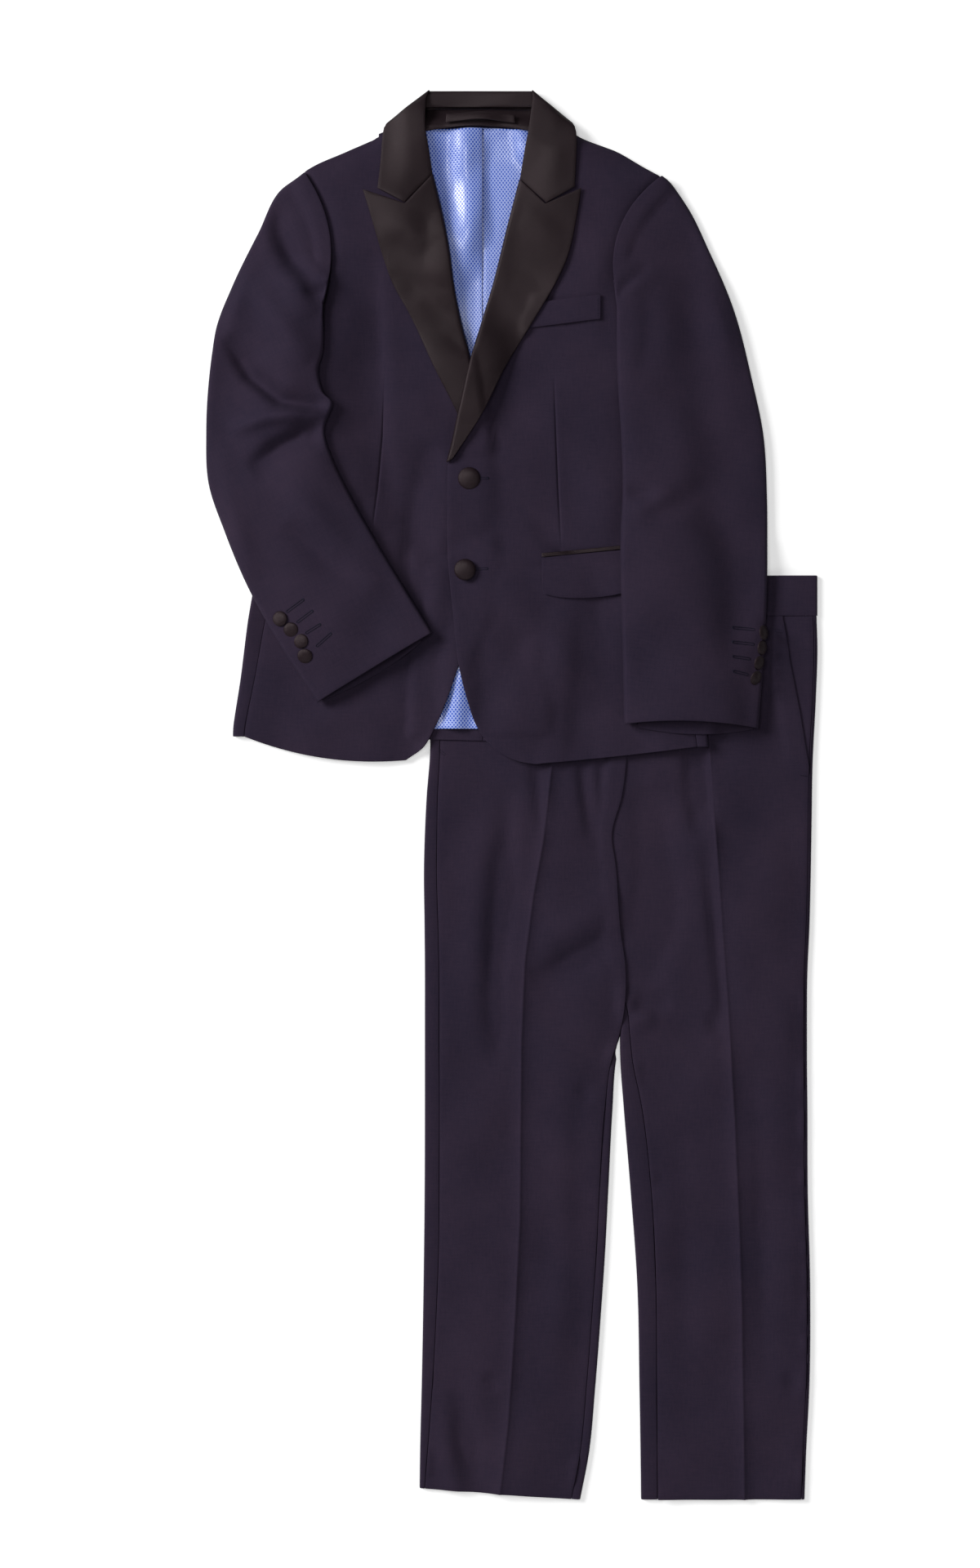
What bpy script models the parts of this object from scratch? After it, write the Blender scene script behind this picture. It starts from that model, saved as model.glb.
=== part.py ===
"""A boy's two-piece tuxedo laid flat, the jacket lying on its own pressed trousers.

Each piece of cloth is a wall of even thickness. A short table of rows gives its outline, and its
height comes from what already lies below it: the pieces are laid on one another in the order in
which they lie on the floor. A row joins the two edges of a piece, from its a end to its b end.

Tables are in millimetres. +X is the wearer's left, +Y points to the collar, the floor is z = 0.
"""

from collections import namedtuple
from math import ceil, cos, radians, sin

import bpy
import numpy as np
from mathutils import Quaternion

# ---------------------------------------------------------------- driving sizes, in millimetres

MM = 0.001
WALL = 1.2            # thickness of the cloth
SEAM = 0.3            # gap between two pieces sewn edge to edge
AIR = 0.42            # gap between two layers that lie on each other
STEP = 46.0           # spacing of the rows of a wall
CELL = 2.0            # cell of the map of heights
MAP_HALF = (300.0, 672.0)

TROUSER_FOLD = 2.0    # radius of the round folds at the sides of a leg
BODY_FOLD = 2.6       # the same for the jacket's sides
SLEEVE_FOLD = 3.0
ROLL_FOLD = 2.4       # roll of the lapels and of the collar
CREASE_RISE = 1.7     # pressed crease of a trouser leg
LEG_LOFT = 1.6        # how much the middle of a leg stands above its folds

# Laid pieces spread sideways over a step by this reach before they touch down again.
NEAR, WIDE = 6.0, 18.0

CORNER_FROM = 0.02    # how far from the middle a bend has to be to count as a corner
CLEAR_STEPS = 8       # rounds in which a piece is raised clear of what lies below
CLEAR_SHARE = 0.7     # part of the lack that each round but the last makes good
SWELL = 0.8           # exponent of a loft: below 1 it rises steeply from the folds
FADE = 0.6            # the same for a fold's fading at both ends of its route
SEAT_EDGE = 15.0      # width of the last columns of a back beside the seat seam
SEAM_UNDER = 4.0      # least width of a back's turned edge beside the inner seam
EDGE_SEAM = 0.15      # a turned edge whose seam lies on the edge itself
STAND_UNDER = 3.6     # width of the roll that returns below the collar stand
LAPEL_STEP, LINING_STEP, TRIM_STEP, LOOP_STEP = 40.0, 60.0, 30.0, 8.0     # spacing of their rows

WOOL = ("wool", (0.0165, 0.0125, 0.0235), 0.85)
SATIN = ("satin", (0.021, 0.018, 0.016), 0.38)
LINING = ("lining", (0.09, 0.22, 0.50), 0.35)

# ---------------------------------------------------------------- tables

# Row of a leg: its outer and inner edge, the seams' distances from those edges and how far the
# back wraps round the inner edge (0 above the fork, where both backs meet in the seat seam).
Leg = namedtuple("Leg", "out_x out_y in_x in_y out_seam in_seam wrap")

RIGHT_LEG = [
    Leg(-76.0, 164.7, 102.2, 164.7, 8.0, -1.8, 0),
    Leg(-76.0, 100, 102.2, 100, 8.0, -2.8, 0),
    Leg(-74.3, 40, 102.2, 40, 8.4, -3.8, 0),
    Leg(-77.4, 0, 102.2, 0, 9.5, 0.7, 0),
    Leg(-79.2, -37, 102.2, -37, 10.6, 10.0, 0),
    Leg(-79.9, -62, 102.2, -62, 11.0, 6.7, 0),
    Leg(-79.4, -122, 102.2, -122, 12.0, 2.2, 0),
    Leg(-79.1, -158, 102.2, -158, 12.5, -2.5, 0),
    Leg(-79.1, -196, 102.1, -196, 12.7, 0.5, 0),
    Leg(-79.1, -221, 99.6, -221, 12.7, 1.0, 0),
    Leg(-79.1, -242, 95.4, -242, 12.8, 3.5, 1),
    Leg(-79.1, -290, 91.8, -290, 12.9, 6.5, 1),
    Leg(-79.3, -360, 88.2, -360, 12.9, 7.5, 1),
    Leg(-79.9, -420, 85.1, -420, 12.9, 7.5, 1),
    Leg(-80.8, -480, 81.0, -480, 11.5, 7.5, 1),
    Leg(-82.0, -541, 76.1, -543, 9.3, 7.5, 1),
    Leg(-83.4, -598, 70.1, -605, 6.6, 7.5, 1),
    Leg(-83.9, -635.5, 62.2, -645.9, 4.2, 7.5, 1),
]

LEFT_LEG = [
    Leg(279.2, 164.7, 102.5, 164.7, 2.6, -6.5, 0),
    Leg(280.0, 136, 102.5, 136, 2.6, -6.5, 0),
    Leg(278.6, 90, 102.5, 90, 2.6, -6.5, 0),
    Leg(275.6, 30, 102.5, 30, 2.6, -8.0, 0),
    Leg(274.6, -30, 102.5, -30, 2.6, -16.0, 0),
    Leg(273.7, -80, 102.5, -80, 2.6, -14.0, 0),
    Leg(272.6, -122, 102.5, -122, 2.6, -10.0, 0),
    Leg(270.9, -160, 102.5, -160, 2.6, -6.0, 0),
    Leg(270.5, -178, 102.6, -178, 2.6, -1.5, 0),
    Leg(270.4, -196, 102.4, -196, 2.6, 4.0, 1),
    Leg(270.4, -221, 99.9, -221, 2.6, 8.6, 1),
    Leg(270.4, -242, 100.2, -242, 2.6, 10.5, 1),
    Leg(270.8, -283, 103.1, -283, 2.6, 15.8, 1),
    Leg(271.1, -360, 109.5, -360, 2.6, 18.4, 1),
    Leg(273.3, -451, 115.9, -451, 2.6, 16.5, 1),
    Leg(272.6, -542, 117.8, -542, 2.6, 15.3, 1),
    Leg(269.6, -604, 118.8, -604, 2.6, 14.8, 1),
    Leg(268.1, -645.9, 119.3, -645.9, 2.6, 14.6, 1),
]

# Mouth of the slanted pocket: how far it lies inside the leg's outer edge at a height.
Mouth = namedtuple("Mouth", "y inside")
POCKET_MOUTH = [Mouth(164.7, 30.5), Mouth(121, 24), Mouth(76, 13.2), Mouth(27, 2.6)]
FACING_UNDERLAP = 14.0

# Row of a laid piece: its ends, the bow of the row and where along it the bow is greatest,
# and how high the a end, the middle and the b end stand above what the piece is laid on.
Row = namedtuple("Row", "ax ay bx by bow corner rise_a rise_m rise_b", defaults=(0, 0.5, 0, 0, 0))

FRONT_RIGHT = [
    Row(-105, 616, -84, 633, 0, 0.5, 2.0, 3.0, 3.5),
    Row(-118, 606, -84, 611, 0, 0.5, 2.0, 5.0, 4.5),
    Row(-152, 590, -83, 590, 0, 0.5, 2.0, 7.5, 5.0),
    Row(-184.5, 574.9, -77.4, 568, 0, 0.5, 3.6, 9.3, 5.4),
    Row(-189.4, 571.8, -77, 565.5, 0, 0.5, 4.0, 9.5, 5.5),
    Row(-176.6, 548, -70, 543, 0, 0.5, 4.8, 10.0, 5.5),
    Row(-166.9, 519.5, -65, 519, 0, 0.5, 5.2, 10.0, 5.5),
    Row(-164.2, 500, -62, 498, 0, 0.5, 5.2, 9.8, 5.5),
    Row(-165.2, 478.5, -59, 477, 0, 0.5, 5.2, 9.5, 5.5),
    Row(-175, 453, -54, 453, 0, 0.5, 5.2, 9.0, 5.5),
    Row(-177.5, 428, -48, 425, 0, 0.5, 5.2, 8.5, 5.5),
    Row(-181, 390, -40, 393, 0, 0.5, 5.2, 8.0, 5.0),
    Row(-189, 340, -31, 340, 0, 0.5, 5.2, 7.5, 4.5),
    Row(-197, 300, -20, 290, 0, 0.5, 5.2, 7.0, 4.0),
    Row(-211, 230, -20, 230, 0, 0.5, 5.2, 7.0, 4.0),
    Row(-226, 160, -29, 163, 0, 0.5, 5.2, 7.0, 4.5),
    Row(-236, 105, -49, 117, 0, 0.5, 5.2, 6.5, 4.5),
    Row(-242, 76, -60, 86, -1, 0.5, 5.2, 6.0, 4.5),
    Row(-244.3, 64, -71, 61, -4, 0.5, 5.2, 5.6, 4.0),
    Row(-245, 58, -80, 45, -7, 0.5, 5.2, 5.4, 4.0),
    Row(-245.2, 54, -97, 32.3, -9, 0.5, 5.2, 5.2, 4.0),
]

FRONT_LEFT = [
    Row(26, 632, 47, 615, 0, 0.5, 3.5, 3.0, 2.0),
    Row(24, 612, 60, 605, 0, 0.5, 4.5, 5.0, 2.0),
    Row(20, 590, 98, 586, 0, 0.5, 5.0, 7.5, 2.0),
    Row(12, 566, 135.6, 568.1, 0, 0.5, 5.5, 9.5, 3.6),
    Row(5, 543, 116.4, 550.8, 0, 0.5, 5.5, 10.0, 4.8),
    Row(0, 520, 98, 521, 0, 0.5, 5.5, 10.0, 5.2),
    Row(-6.5, 494, 91.4, 493, 0, 0.5, 5.5, 9.8, 5.2),
    Row(-10.4, 477, 91.4, 474, 0, 0.5, 5.5, 9.5, 5.2),
    Row(-18, 449, 98.6, 453, 0, 0.5, 5.5, 9.0, 5.2),
    Row(-28, 415, 101, 420, 0, 0.5, 5.5, 8.5, 5.2),
    Row(-38, 378, 106, 380, 0, 0.5, 5.0, 8.0, 5.2),
    Row(-47, 335, 113, 335, 0, 0.5, 4.5, 7.5, 5.2),
    Row(-53, 314, 115.5, 314, 0, 0.5, 4.0, 7.0, 5.2),
    Row(-58, 304, 117, 303, 0, 0.5, 4.0, 7.0, 5.2),
    Row(-58.8, 292, 118.5, 292, 0, 0.5, 4.0, 7.0, 5.2),
    Row(-59, 272, 121.5, 272, 0, 0.5, 4.0, 7.0, 5.2),
    Row(-59, 228, 128.5, 228, 0, 0.5, 4.0, 7.0, 5.2),
    Row(-53, 160, 143, 160, 0, 0.5, 4.5, 7.0, 5.2),
    Row(-48.5, 119, 152, 115, 0, 0.5, 4.5, 6.5, 5.2),
    Row(-41, 88.5, 160, 84, 0, 0.5, 4.5, 6.0, 5.2),
    Row(-32, 63, 165, 64, 0, 0.5, 4.0, 5.6, 5.2),
    Row(-19, 45, 168, 54, -1, 0.5, 4.0, 5.4, 5.2),
    Row(2.6, 32.3, 169, 48, -2, 0.5, 4.0, 5.2, 5.2),
    Row(20, 28.5, 169.5, 44.5, -1, 0.5, 4.0, 5.2, 5.2),
]

# Side bodies: at a height, how far the fold lies outside the front's seam on either side.
Side = namedtuple("Side", "y right left")
SIDE_FOLD = [
    Side(453, 22, 20), Side(390, 21, 19.5), Side(300, 19, 19), Side(230, 18, 18),
    Side(160, 15.5, 15), Side(105, 12.5, 12.5), Side(54, 10, 10.5), Side(44.5, 10, 10.2),
]
SIDE_UNDER = 58.0                     # width of a side body below the fold
ARMPIT_Y = 453.5
HEAD_RAMP = 26.0                      # height over which a sleeve comes down beside its armhole
CENTRE_BACK = -26.5
BACK_HEM_Y = 50.0                     # hem at the centre back
BACK_DROP_Y = 160.0                   # from here down the rows are shifted to that hem

LAPEL_RIGHT = [
    Row(-136.7, 554.7, -72.4, 568.5, -21, 0.534),
    Row(-128.6, 528, -66, 543, -6, 0.5),
    Row(-117.4, 490.5, -57, 497, -1, 0.5),
    Row(-109.1, 468, -53.4, 468),
    Row(-93.4, 439.5, -47.5, 438),
    Row(-71.6, 392.3, -37, 394),
    Row(-49.5, 348, -29, 348),
    Row(-38, 320, -23.5, 320),
]

LAPEL_LEFT = [
    Row(7.5, 564, 64, 556, -19, 0.463),
    Row(1.4, 541, 59.5, 528, -5, 0.5),
    Row(-4, 520, 55, 505.5, -2, 0.5),
    Row(-16.9, 468, 40, 468),
    Row(-28, 431, 17.6, 430.5),
    Row(-39, 393, -5, 393),
    Row(-48.9, 349.5, -27.4, 348),
    Row(-56, 317, -45, 322),
]
LAPEL_UNDER = 3.0                     # width of the roll that returns below the lapel

# Collar: the a end of a row lies on the roll, the b end on the outer edge. Each leaf runs up to
# the line over which the collar folds to the underside; the fall joins both below the neck.
LEAF_RIGHT = [
    Row(-72.5, 569.1, -123, 555.5, 18.9, 0.606),
    Row(-75.6, 590, -120.5, 577, 4, 0.55),
    Row(-79, 612, -118.6, 602),
    Row(-78.6, 638.5, -117.2, 611.5),
]
FOLD_RIGHT = Row(-75.4, 646.2, -114.6, 615.6)
FALL = [
    Row(-71, 641.5, -109, 609.5),
    Row(-60, 641.2, -82, 604),
    Row(-28.5, 641.2, -28.5, 606),
    Row(3, 641.2, 25, 604),
    Row(14, 641.5, 50.5, 610),
]
FOLD_LEFT = Row(18.6, 646.2, 55.5, 617.3)
LEAF_LEFT = [
    Row(19.2, 638.5, 58, 612.8),
    Row(15.6, 612, 59.3, 603),
    Row(11.6, 590, 58.8, 579, -4, 0.5),
    Row(7.4, 564.7, 57.8, 557.2, -18.3, 0.529),
]

STAND = [Row(-83, 630.3, -70.4, 646.2), Row(24.5, 630.3, 13.4, 646.2)]
NECK_FACING = [
    Row(-88, 606, -84, 628),
    Row(-60, 611, -60, 630),
    Row(2, 611, 2, 630),
    Row(31, 606, 27, 628),
]
LINING_RIGHT = [
    Row(-97, 609.5, CENTRE_BACK - SEAM, 612),
    Row(-92, 330, CENTRE_BACK - SEAM, 330),
    Row(-88, 61, CENTRE_BACK - SEAM, 61),
]
LINING_LEFT = [
    Row(CENTRE_BACK, 612, 42, 609.5),
    Row(CENTRE_BACK, 330, 38, 330),
    Row(CENTRE_BACK, 61, 36, 61),
]
HANGER_LOOP = [
    Row(-60.5, 616.6, -60, 622.6),
    Row(-50, 618.2, -50, 623.2, 0, 0.5, 0.4, 0.4, 0.4),
    Row(-28.5, 619.6, -28.5, 624.6, 0, 0.5, 2.0, 2.0, 2.0),
    Row(-7, 618.2, -7, 623.2, 0, 0.5, 0.4, 0.4, 0.4),
    Row(3.2, 616.6, 2.7, 622.6),
]

BREAST_WELT = [Row(15, 428, 26, 451.8), Row(81.4, 435.8, 81.4, 458.3)]
POCKET_JET = [Row(27.4, 217.9, 27.4, 221.6), Row(131, 228.4, 131, 232.2)]
POCKET_FLAP = [
    Row(27.6, 190, 27.4, 217.2),
    Row(29.2, 184.8, 32, 217.8),
    Row(34, 183, 40, 218.7),
    Row(121, 189, 122, 226.8),
    Row(129, 191.5, 130, 227.6),
    Row(131.5, 198, 131, 227.7),
]

# Row of a sleeve: the fold over the back of the arm, the fold at the body's side, the bow of the
# row, how far the middle stands above the folds and how much more the under sleeve is bowed.
Arm = namedtuple("Arm", "back_x back_y body_x body_y bow loft gape", defaults=(0,))

SLEEVE_RIGHT = [
    Arm(-189.6, 570.4, -171.5, 454.5, 14.2, 0.2),
    Arm(-194.6, 566.4, -172.8, 449, 13, 0.8),
    Arm(-209.4, 556.8, -173.0, 440, 9, 2.2),
    Arm(-232.1, 515.3, -172.4, 426, 4, 3.4),
    Arm(-256, 466, -173, 405, 0, 3.6),
    Arm(-270.4, 428.3, -173.4, 385, 0, 3.6),
    Arm(-277.2, 380, -166.2, 361, 0, 4.4),
    Arm(-279.6, 333, -171.5, 336, 0, 3.0),
    Arm(-277.4, 286, -164.5, 308, 0, 3.6),
    Arm(-263, 243, -147, 272, 0, 3.6),
    Arm(-241.1, 191.3, -122, 228, 0, 3.4),
    Arm(-210.4, 136.5, -97.1, 187, 0, 3.2),
    Arm(-177.4, 85.5, -73.3, 148.5, 0.5, 3.0, -6.5),
]

SLEEVE_LEFT = [
    Arm(137.2, 567.4, 95.2, 458, -18.6, 0.2),
    Arm(142.6, 563.4, 96, 450, -16, 0.8),
    Arm(159.4, 541.5, 96.4, 440, -9, 2.2),
    Arm(181.1, 498, 96.4, 424, -3, 3.4),
    Arm(203, 445.5, 96.6, 400, 0, 3.6),
    Arm(220, 380.3, 98.2, 366, 0, 3.6),
    Arm(230, 332.3, 100.3, 334, 0, 3.6),
    Arm(233.6, 271.5, 102, 280.5, 0, 3.8),
    Arm(233.6, 215, 99.6, 228, 0, 3.4),
    Arm(232.4, 170, 100.4, 178, 0, 3.2),
    Arm(229.2, 115, 102, 120, 0, 3.0),
    Arm(225, 61.5, 103.1, 65.3, -4.5, 3.4, 12),
]
SLEEVE_SEAMS = (-4.0, -12.0)          # both seams lie underneath, this far in from the folds

WAISTBAND = (165.0, 201.8)
WAISTBAND_ENDS = (-76.2, 279.9)
WAISTBAND_SEAMS = (8.0, -10.0)        # one on top at the right end, one underneath at the left
WAISTBAND_LOFT = 2.1

# Fold in a top layer: a ridge (rise above 0) or a trough along a route, fading at its ends
# where fade is 1.
Fold = namedtuple("Fold", "width rise fade route")

CREASE_HALF = 5.5
CREASES = {
    "right": [(48, 170), (40, 60), (28.9, -39.8), (19.5, -92), (11.6, -153), (8.6, -226),
              (7.1, -390), (2.6, -481), (-3.4, -573), (-12.2, -650)],
    "left": [(178, 170), (181, 45), (184, 0), (188.6, -61), (197.6, -184), (204, -298),
             (208.5, -400), (210.6, -470), (213.2, -650)],
}
LEG_FOLDS = [
    Fold(12, -1.3, 1, [(-8, -30), (-6, -290)]),
    Fold(14, -1.2, 1, [(126, -130), (22, -172)]),
    Fold(10, -1.5, 1, [(98, -184), (142, -191)]),
]
SLEEVE_FOLDS = [
    Fold(9, -2.4, 1, [(-262, 425), (-219, 370), (-170, 349)]),
    Fold(9, 2.0, 1, [(-262, 350), (-205, 368), (-158, 362)]),
    Fold(10, -2.0, 1, [(-252, 288), (-170, 332)]),
    Fold(10, 1.6, 1, [(96, 256), (164, 282)]),
]
BODY_FOLDS = [Fold(9, -2.2, 1, [(-76, 322), (-88, 240), (-90, 150)])]

# Button: where it lies, its radius, and how far it leans towards a compass heading in degrees.
Button = namedtuple("Button", "name x y radius lean heading")
FRONT_BUTTONS = [
    Button("front_button_upper", -39, 290.3, 10.2, 0, 0),
    Button("front_button_lower", -42.8, 206.3, 9.8, 0, 0),
]
CUFF_BUTTONS = [
    Button("cuff_button_right_1", -211.6, 161.4, 6.9, 16, 175),
    Button("cuff_button_right_2", -201.6, 151.4, 6.9, 14, 230),
    Button("cuff_button_right_3", -192.4, 141.0, 6.9, 15, 185),
    Button("cuff_button_right_4", -188.8, 127.4, 6.9, 18, 250),
    Button("cuff_button_left_1", 229.4, 148.6, 6.8, 52, 5),
    Button("cuff_button_left_2", 228.0, 134.8, 6.8, 50, -8),
    Button("cuff_button_left_3", 225.2, 121.0, 6.8, 48, -18),
    Button("cuff_button_left_4", 222.2, 107.4, 6.8, 46, -28),
]
BUTTON_HEIGHT = 0.42                  # of a button's radius
BUTTON_GAP = 0.15


# ---------------------------------------------------------------- rows and columns

def spread(rows, step=STEP):
    """Rows of a table with smooth rows between them, about a step apart."""
    table = np.array(rows, dtype=float)
    if len(table) == 2:
        table = np.array([table[0], table.mean(axis=0), table[1]])
    moves = np.diff(table[:, 0:4], axis=0)
    lengths = np.maximum(np.hypot(moves[:, 0], moves[:, 1]), np.hypot(moves[:, 2], moves[:, 3]))
    at = np.concatenate([[0.0], np.cumsum(lengths)])
    slope = np.gradient(table, at, axis=0)
    dense = []
    for i, length in enumerate(lengths):
        count = max(1, ceil(length / step))
        for t in np.arange(count) / count:
            start = (1 + 2 * t) * (1 - t) ** 2 * table[i] + t * t * (3 - 2 * t) * table[i + 1]
            bend = t * (1 - t) ** 2 * slope[i] - t * t * (1 - t) * slope[i + 1]
            dense.append(start + bend * length)
    dense.append(table[-1])
    return np.array(dense)


def place(ends, along, bow=None, corner=None):
    """Plan points at distances along each row, from its a end, bowed to the row's left.

    A row whose corner lies in the middle is bowed smoothly; others are bent at the corner.
    """
    a, b = ends[:, None, 0:2], ends[:, None, 2:4]
    length = np.linalg.norm(b - a, axis=2, keepdims=True)
    course = (b - a) / length
    points = a + course * along[:, :, None]
    if bow is not None:
        share = along / length[:, :, 0]
        shape = 4 * share * (1 - share)
        if corner is not None:
            corner = corner[:, None]
            bent = np.minimum(share / corner, (1 - share) / (1 - corner))
            shape += (bent - shape) * np.clip(np.abs(corner - 0.5) / CORNER_FROM, 0, 1)
        across = np.stack([-course[:, :, 1], course[:, :, 0]], axis=2)
        points = points + across * (bow[:, None] * shape)[:, :, None]
    return points


def width_of(ends):
    return np.hypot(ends[:, 2] - ends[:, 0], ends[:, 3] - ends[:, 1])


def turn(fold):
    """Distances from a fold's edge and levels, from the top layer round to the lower one."""
    angles = np.radians([90, 30, -30, -90])
    return [(fold * (1 - cos(angle)), (1 + sin(angle)) / 2) for angle in angles]


def lead(seam, fold, upper):
    """Columns from a seam to the flat part of one side: (distances from the edge, levels)."""
    on_top = seam.mean() > 0
    gap = SEAM / 2 if upper == on_top else -SEAM / 2
    first = [(np.abs(seam) + gap, 1.0 if on_top else 0.0)]
    if upper == on_top:
        return first
    bend = turn(fold)
    return first + (bend[::-1] if upper else bend)


def tube_columns(width, seam_a, seam_b, fold, upper, count):
    """Distances along each row, and levels, for the upper or the lower part of a flat tube.

    A seam above 0 lies on the top layer that far in from the edge, one below 0 underneath.
    """
    lead_a = lead(seam_a, fold, upper)
    lead_b = lead(seam_b, fold, upper)
    first, last = lead_a[-1][0] + 0 * width, width - lead_b[-1][0]
    inner = [first + (last - first) * k / count for k in range(1, count)]
    level = 1.0 if upper else 0.0
    along = [d + 0 * width for d, _ in lead_a] + inner + [width - d for d, _ in lead_b[::-1]]
    levels = [v for _, v in lead_a] + [level] * len(inner) + [v for _, v in lead_b[::-1]]
    return np.array(along).T, np.tile(levels, (len(width), 1))


def shares(count, corner=None):
    """Even shares of a row, with one of them on the corner."""
    even = np.linspace(0, 1, count + 1)
    if corner is None:
        return even[None, :]
    corner = corner[:, None]
    return np.where(even <= 0.5, 2 * even * corner, 1 - 2 * (1 - even) * (1 - corner))


# ---------------------------------------------------------------- map of heights

class Pile:
    """Height of the uppermost surface over each cell of the floor."""

    def __init__(self):
        shape = [int(2 * half / CELL) + 1 for half in MAP_HALF]
        self.top = np.full(shape, -AIR)

    def lay(self, points, faces):
        """Put a wall's outer side on the map."""
        spots, _, _, half = samples(points, faces)
        column, row = cells(spots)
        np.maximum.at(self.top, (column, row), spots[:, 2] + half)

    def copy(self):
        other = Pile()
        other.top = self.top.copy()
        return other

    def widened(self, reach):
        """The map with each height spread to all cells within the reach."""
        top = self.top
        for axis in (0, 1):
            wide = top
            for shift in range(1, ceil(reach / CELL) + 1):
                wide = np.maximum(wide, shifted(top, shift, axis))
                wide = np.maximum(wide, shifted(top, -shift, axis))
            top = wide
        return top

    def rest(self, plan, reach=NEAR):
        """Height of the middle of a wall laid softly at plan points."""
        field = self.widened(reach + CELL)
        radius = ceil(reach / CELL / 2)
        for axis in (0, 1, 0, 1):
            total = sum(shifted(field, k, axis) for k in range(-radius, radius + 1))
            field = total / (2 * radius + 1)
        return lookup(field, plan) + AIR + WALL / 2

    def clear(self, points, faces):
        """Raise a wall's points until no face dips into what lies below."""
        support = self.widened(CELL)
        spots, corners, weights, half = samples(points, faces)
        column, row = cells(spots)
        need = support[column, row] + AIR + half
        flat = points.reshape(-1, 3)
        for attempt in range(CLEAR_STEPS):
            height = (flat[corners, 2] * weights).sum(axis=1)
            lack = np.maximum(need - height, 0)
            rise = np.zeros(len(flat))
            share = weights / (weights ** 2).sum(axis=1, keepdims=True) * CLEAR_SHARE
            if attempt == CLEAR_STEPS - 1:
                share = 1.0
            push = lack[:, None] * share * (weights > 1e-6)
            np.maximum.at(rise, corners.ravel(), push.ravel())
            flat[:, 2] += rise
        return flat.reshape(points.shape)


def shifted(field, step, axis):
    """The field moved by whole cells, its border repeated."""
    moved = np.roll(field, step, axis)
    edge = [slice(None), slice(None)]
    source = [slice(None), slice(None)]
    edge[axis] = slice(0, step) if step > 0 else slice(step, None)
    source[axis] = slice(0, 1) if step > 0 else slice(-1, None)
    if step:
        moved[tuple(edge)] = field[tuple(source)]
    return moved


def cells(spots):
    """Column and row of the map under each spot."""
    index = np.rint((spots[:, 0:2] + MAP_HALF) / CELL).astype(int)
    return index[:, 0], index[:, 1]


def lookup(field, plan):
    """Value of a map at plan points, blended between cells."""
    spot = (plan + MAP_HALF) / CELL
    whole = np.floor(spot).astype(int)
    part = spot - whole
    i, j = whole[..., 0], whole[..., 1]
    u, v = part[..., 0], part[..., 1]
    near = field[i, j] * (1 - u) + field[i + 1, j] * u
    far = field[i, j + 1] * (1 - u) + field[i + 1, j + 1] * u
    return near * (1 - v) + far * v


def grid_faces(rows, columns):
    """Triangles of a grid of points, as indices."""
    first = (np.arange(rows - 1)[:, None] * columns + np.arange(columns - 1)[None, :]).ravel()
    one = np.stack([first, first + 1, first + columns + 1], axis=1)
    two = np.stack([first, first + columns + 1, first + columns], axis=1)
    return np.concatenate([one, two])


def samples(points, faces):
    """Spots closer than a cell on the faces, their corners and weights, and the wall above them."""
    flat = points.reshape(-1, 3)
    a, b, c = flat[faces[:, 0]], flat[faces[:, 1]], flat[faces[:, 2]]
    longest = max(np.linalg.norm((a - b)[:, :2], axis=1).max(),
                  np.linalg.norm((b - c)[:, :2], axis=1).max())
    count = ceil(longest / (CELL * 0.7))
    pairs = [(i, j) for i in range(count + 1) for j in range(count + 1 - i)]
    u, v = np.array(pairs, dtype=float).T / count
    weights = np.stack([1 - u - v, u, v], axis=1)
    spots = np.einsum("kw,fwx->fkx", weights, np.stack([a, b, c], axis=1)).reshape(-1, 3)
    corners = np.repeat(faces, len(weights), axis=0)
    normal = np.cross(b - a, c - a)
    upright = np.abs(normal[:, 2]) / np.maximum(np.linalg.norm(normal, axis=1), 1e-9)
    half = np.repeat(WALL / 2 / np.maximum(upright, 0.5), len(weights))
    return spots, corners, np.tile(weights, (len(faces), 1)), half


def along_route(plan, route):
    """Distance of plan points from a route, and how far along it they lie, 0 to 1."""
    route = np.array(route, dtype=float)
    best = np.full(plan.shape[:2], 1e9)
    travelled = np.zeros(plan.shape[:2])
    lengths = np.linalg.norm(np.diff(route, axis=0), axis=1)
    before = 0.0
    for start, end, length in zip(route[:-1], route[1:], lengths):
        course = (end - start) / length
        t = np.clip((plan - start) @ course, 0, length)
        away = np.linalg.norm(plan - start - t[..., None] * course, axis=2)
        nearer = away < best
        best = np.where(nearer, away, best)
        travelled = np.where(nearer, before + t, travelled)
        before += length
    return best, travelled / lengths.sum()


def folded(plan, folds):
    """Height that folds add at plan points."""
    rise = np.zeros(plan.shape[:2])
    for fold in folds:
        away, travelled = along_route(plan, fold.route)
        strength = np.sin(np.pi * travelled) ** FADE if fold.fade else 1.0
        rise += fold.rise * strength * np.exp(-(away / fold.width) ** 2)
    return rise


# ---------------------------------------------------------------- pieces

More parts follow.
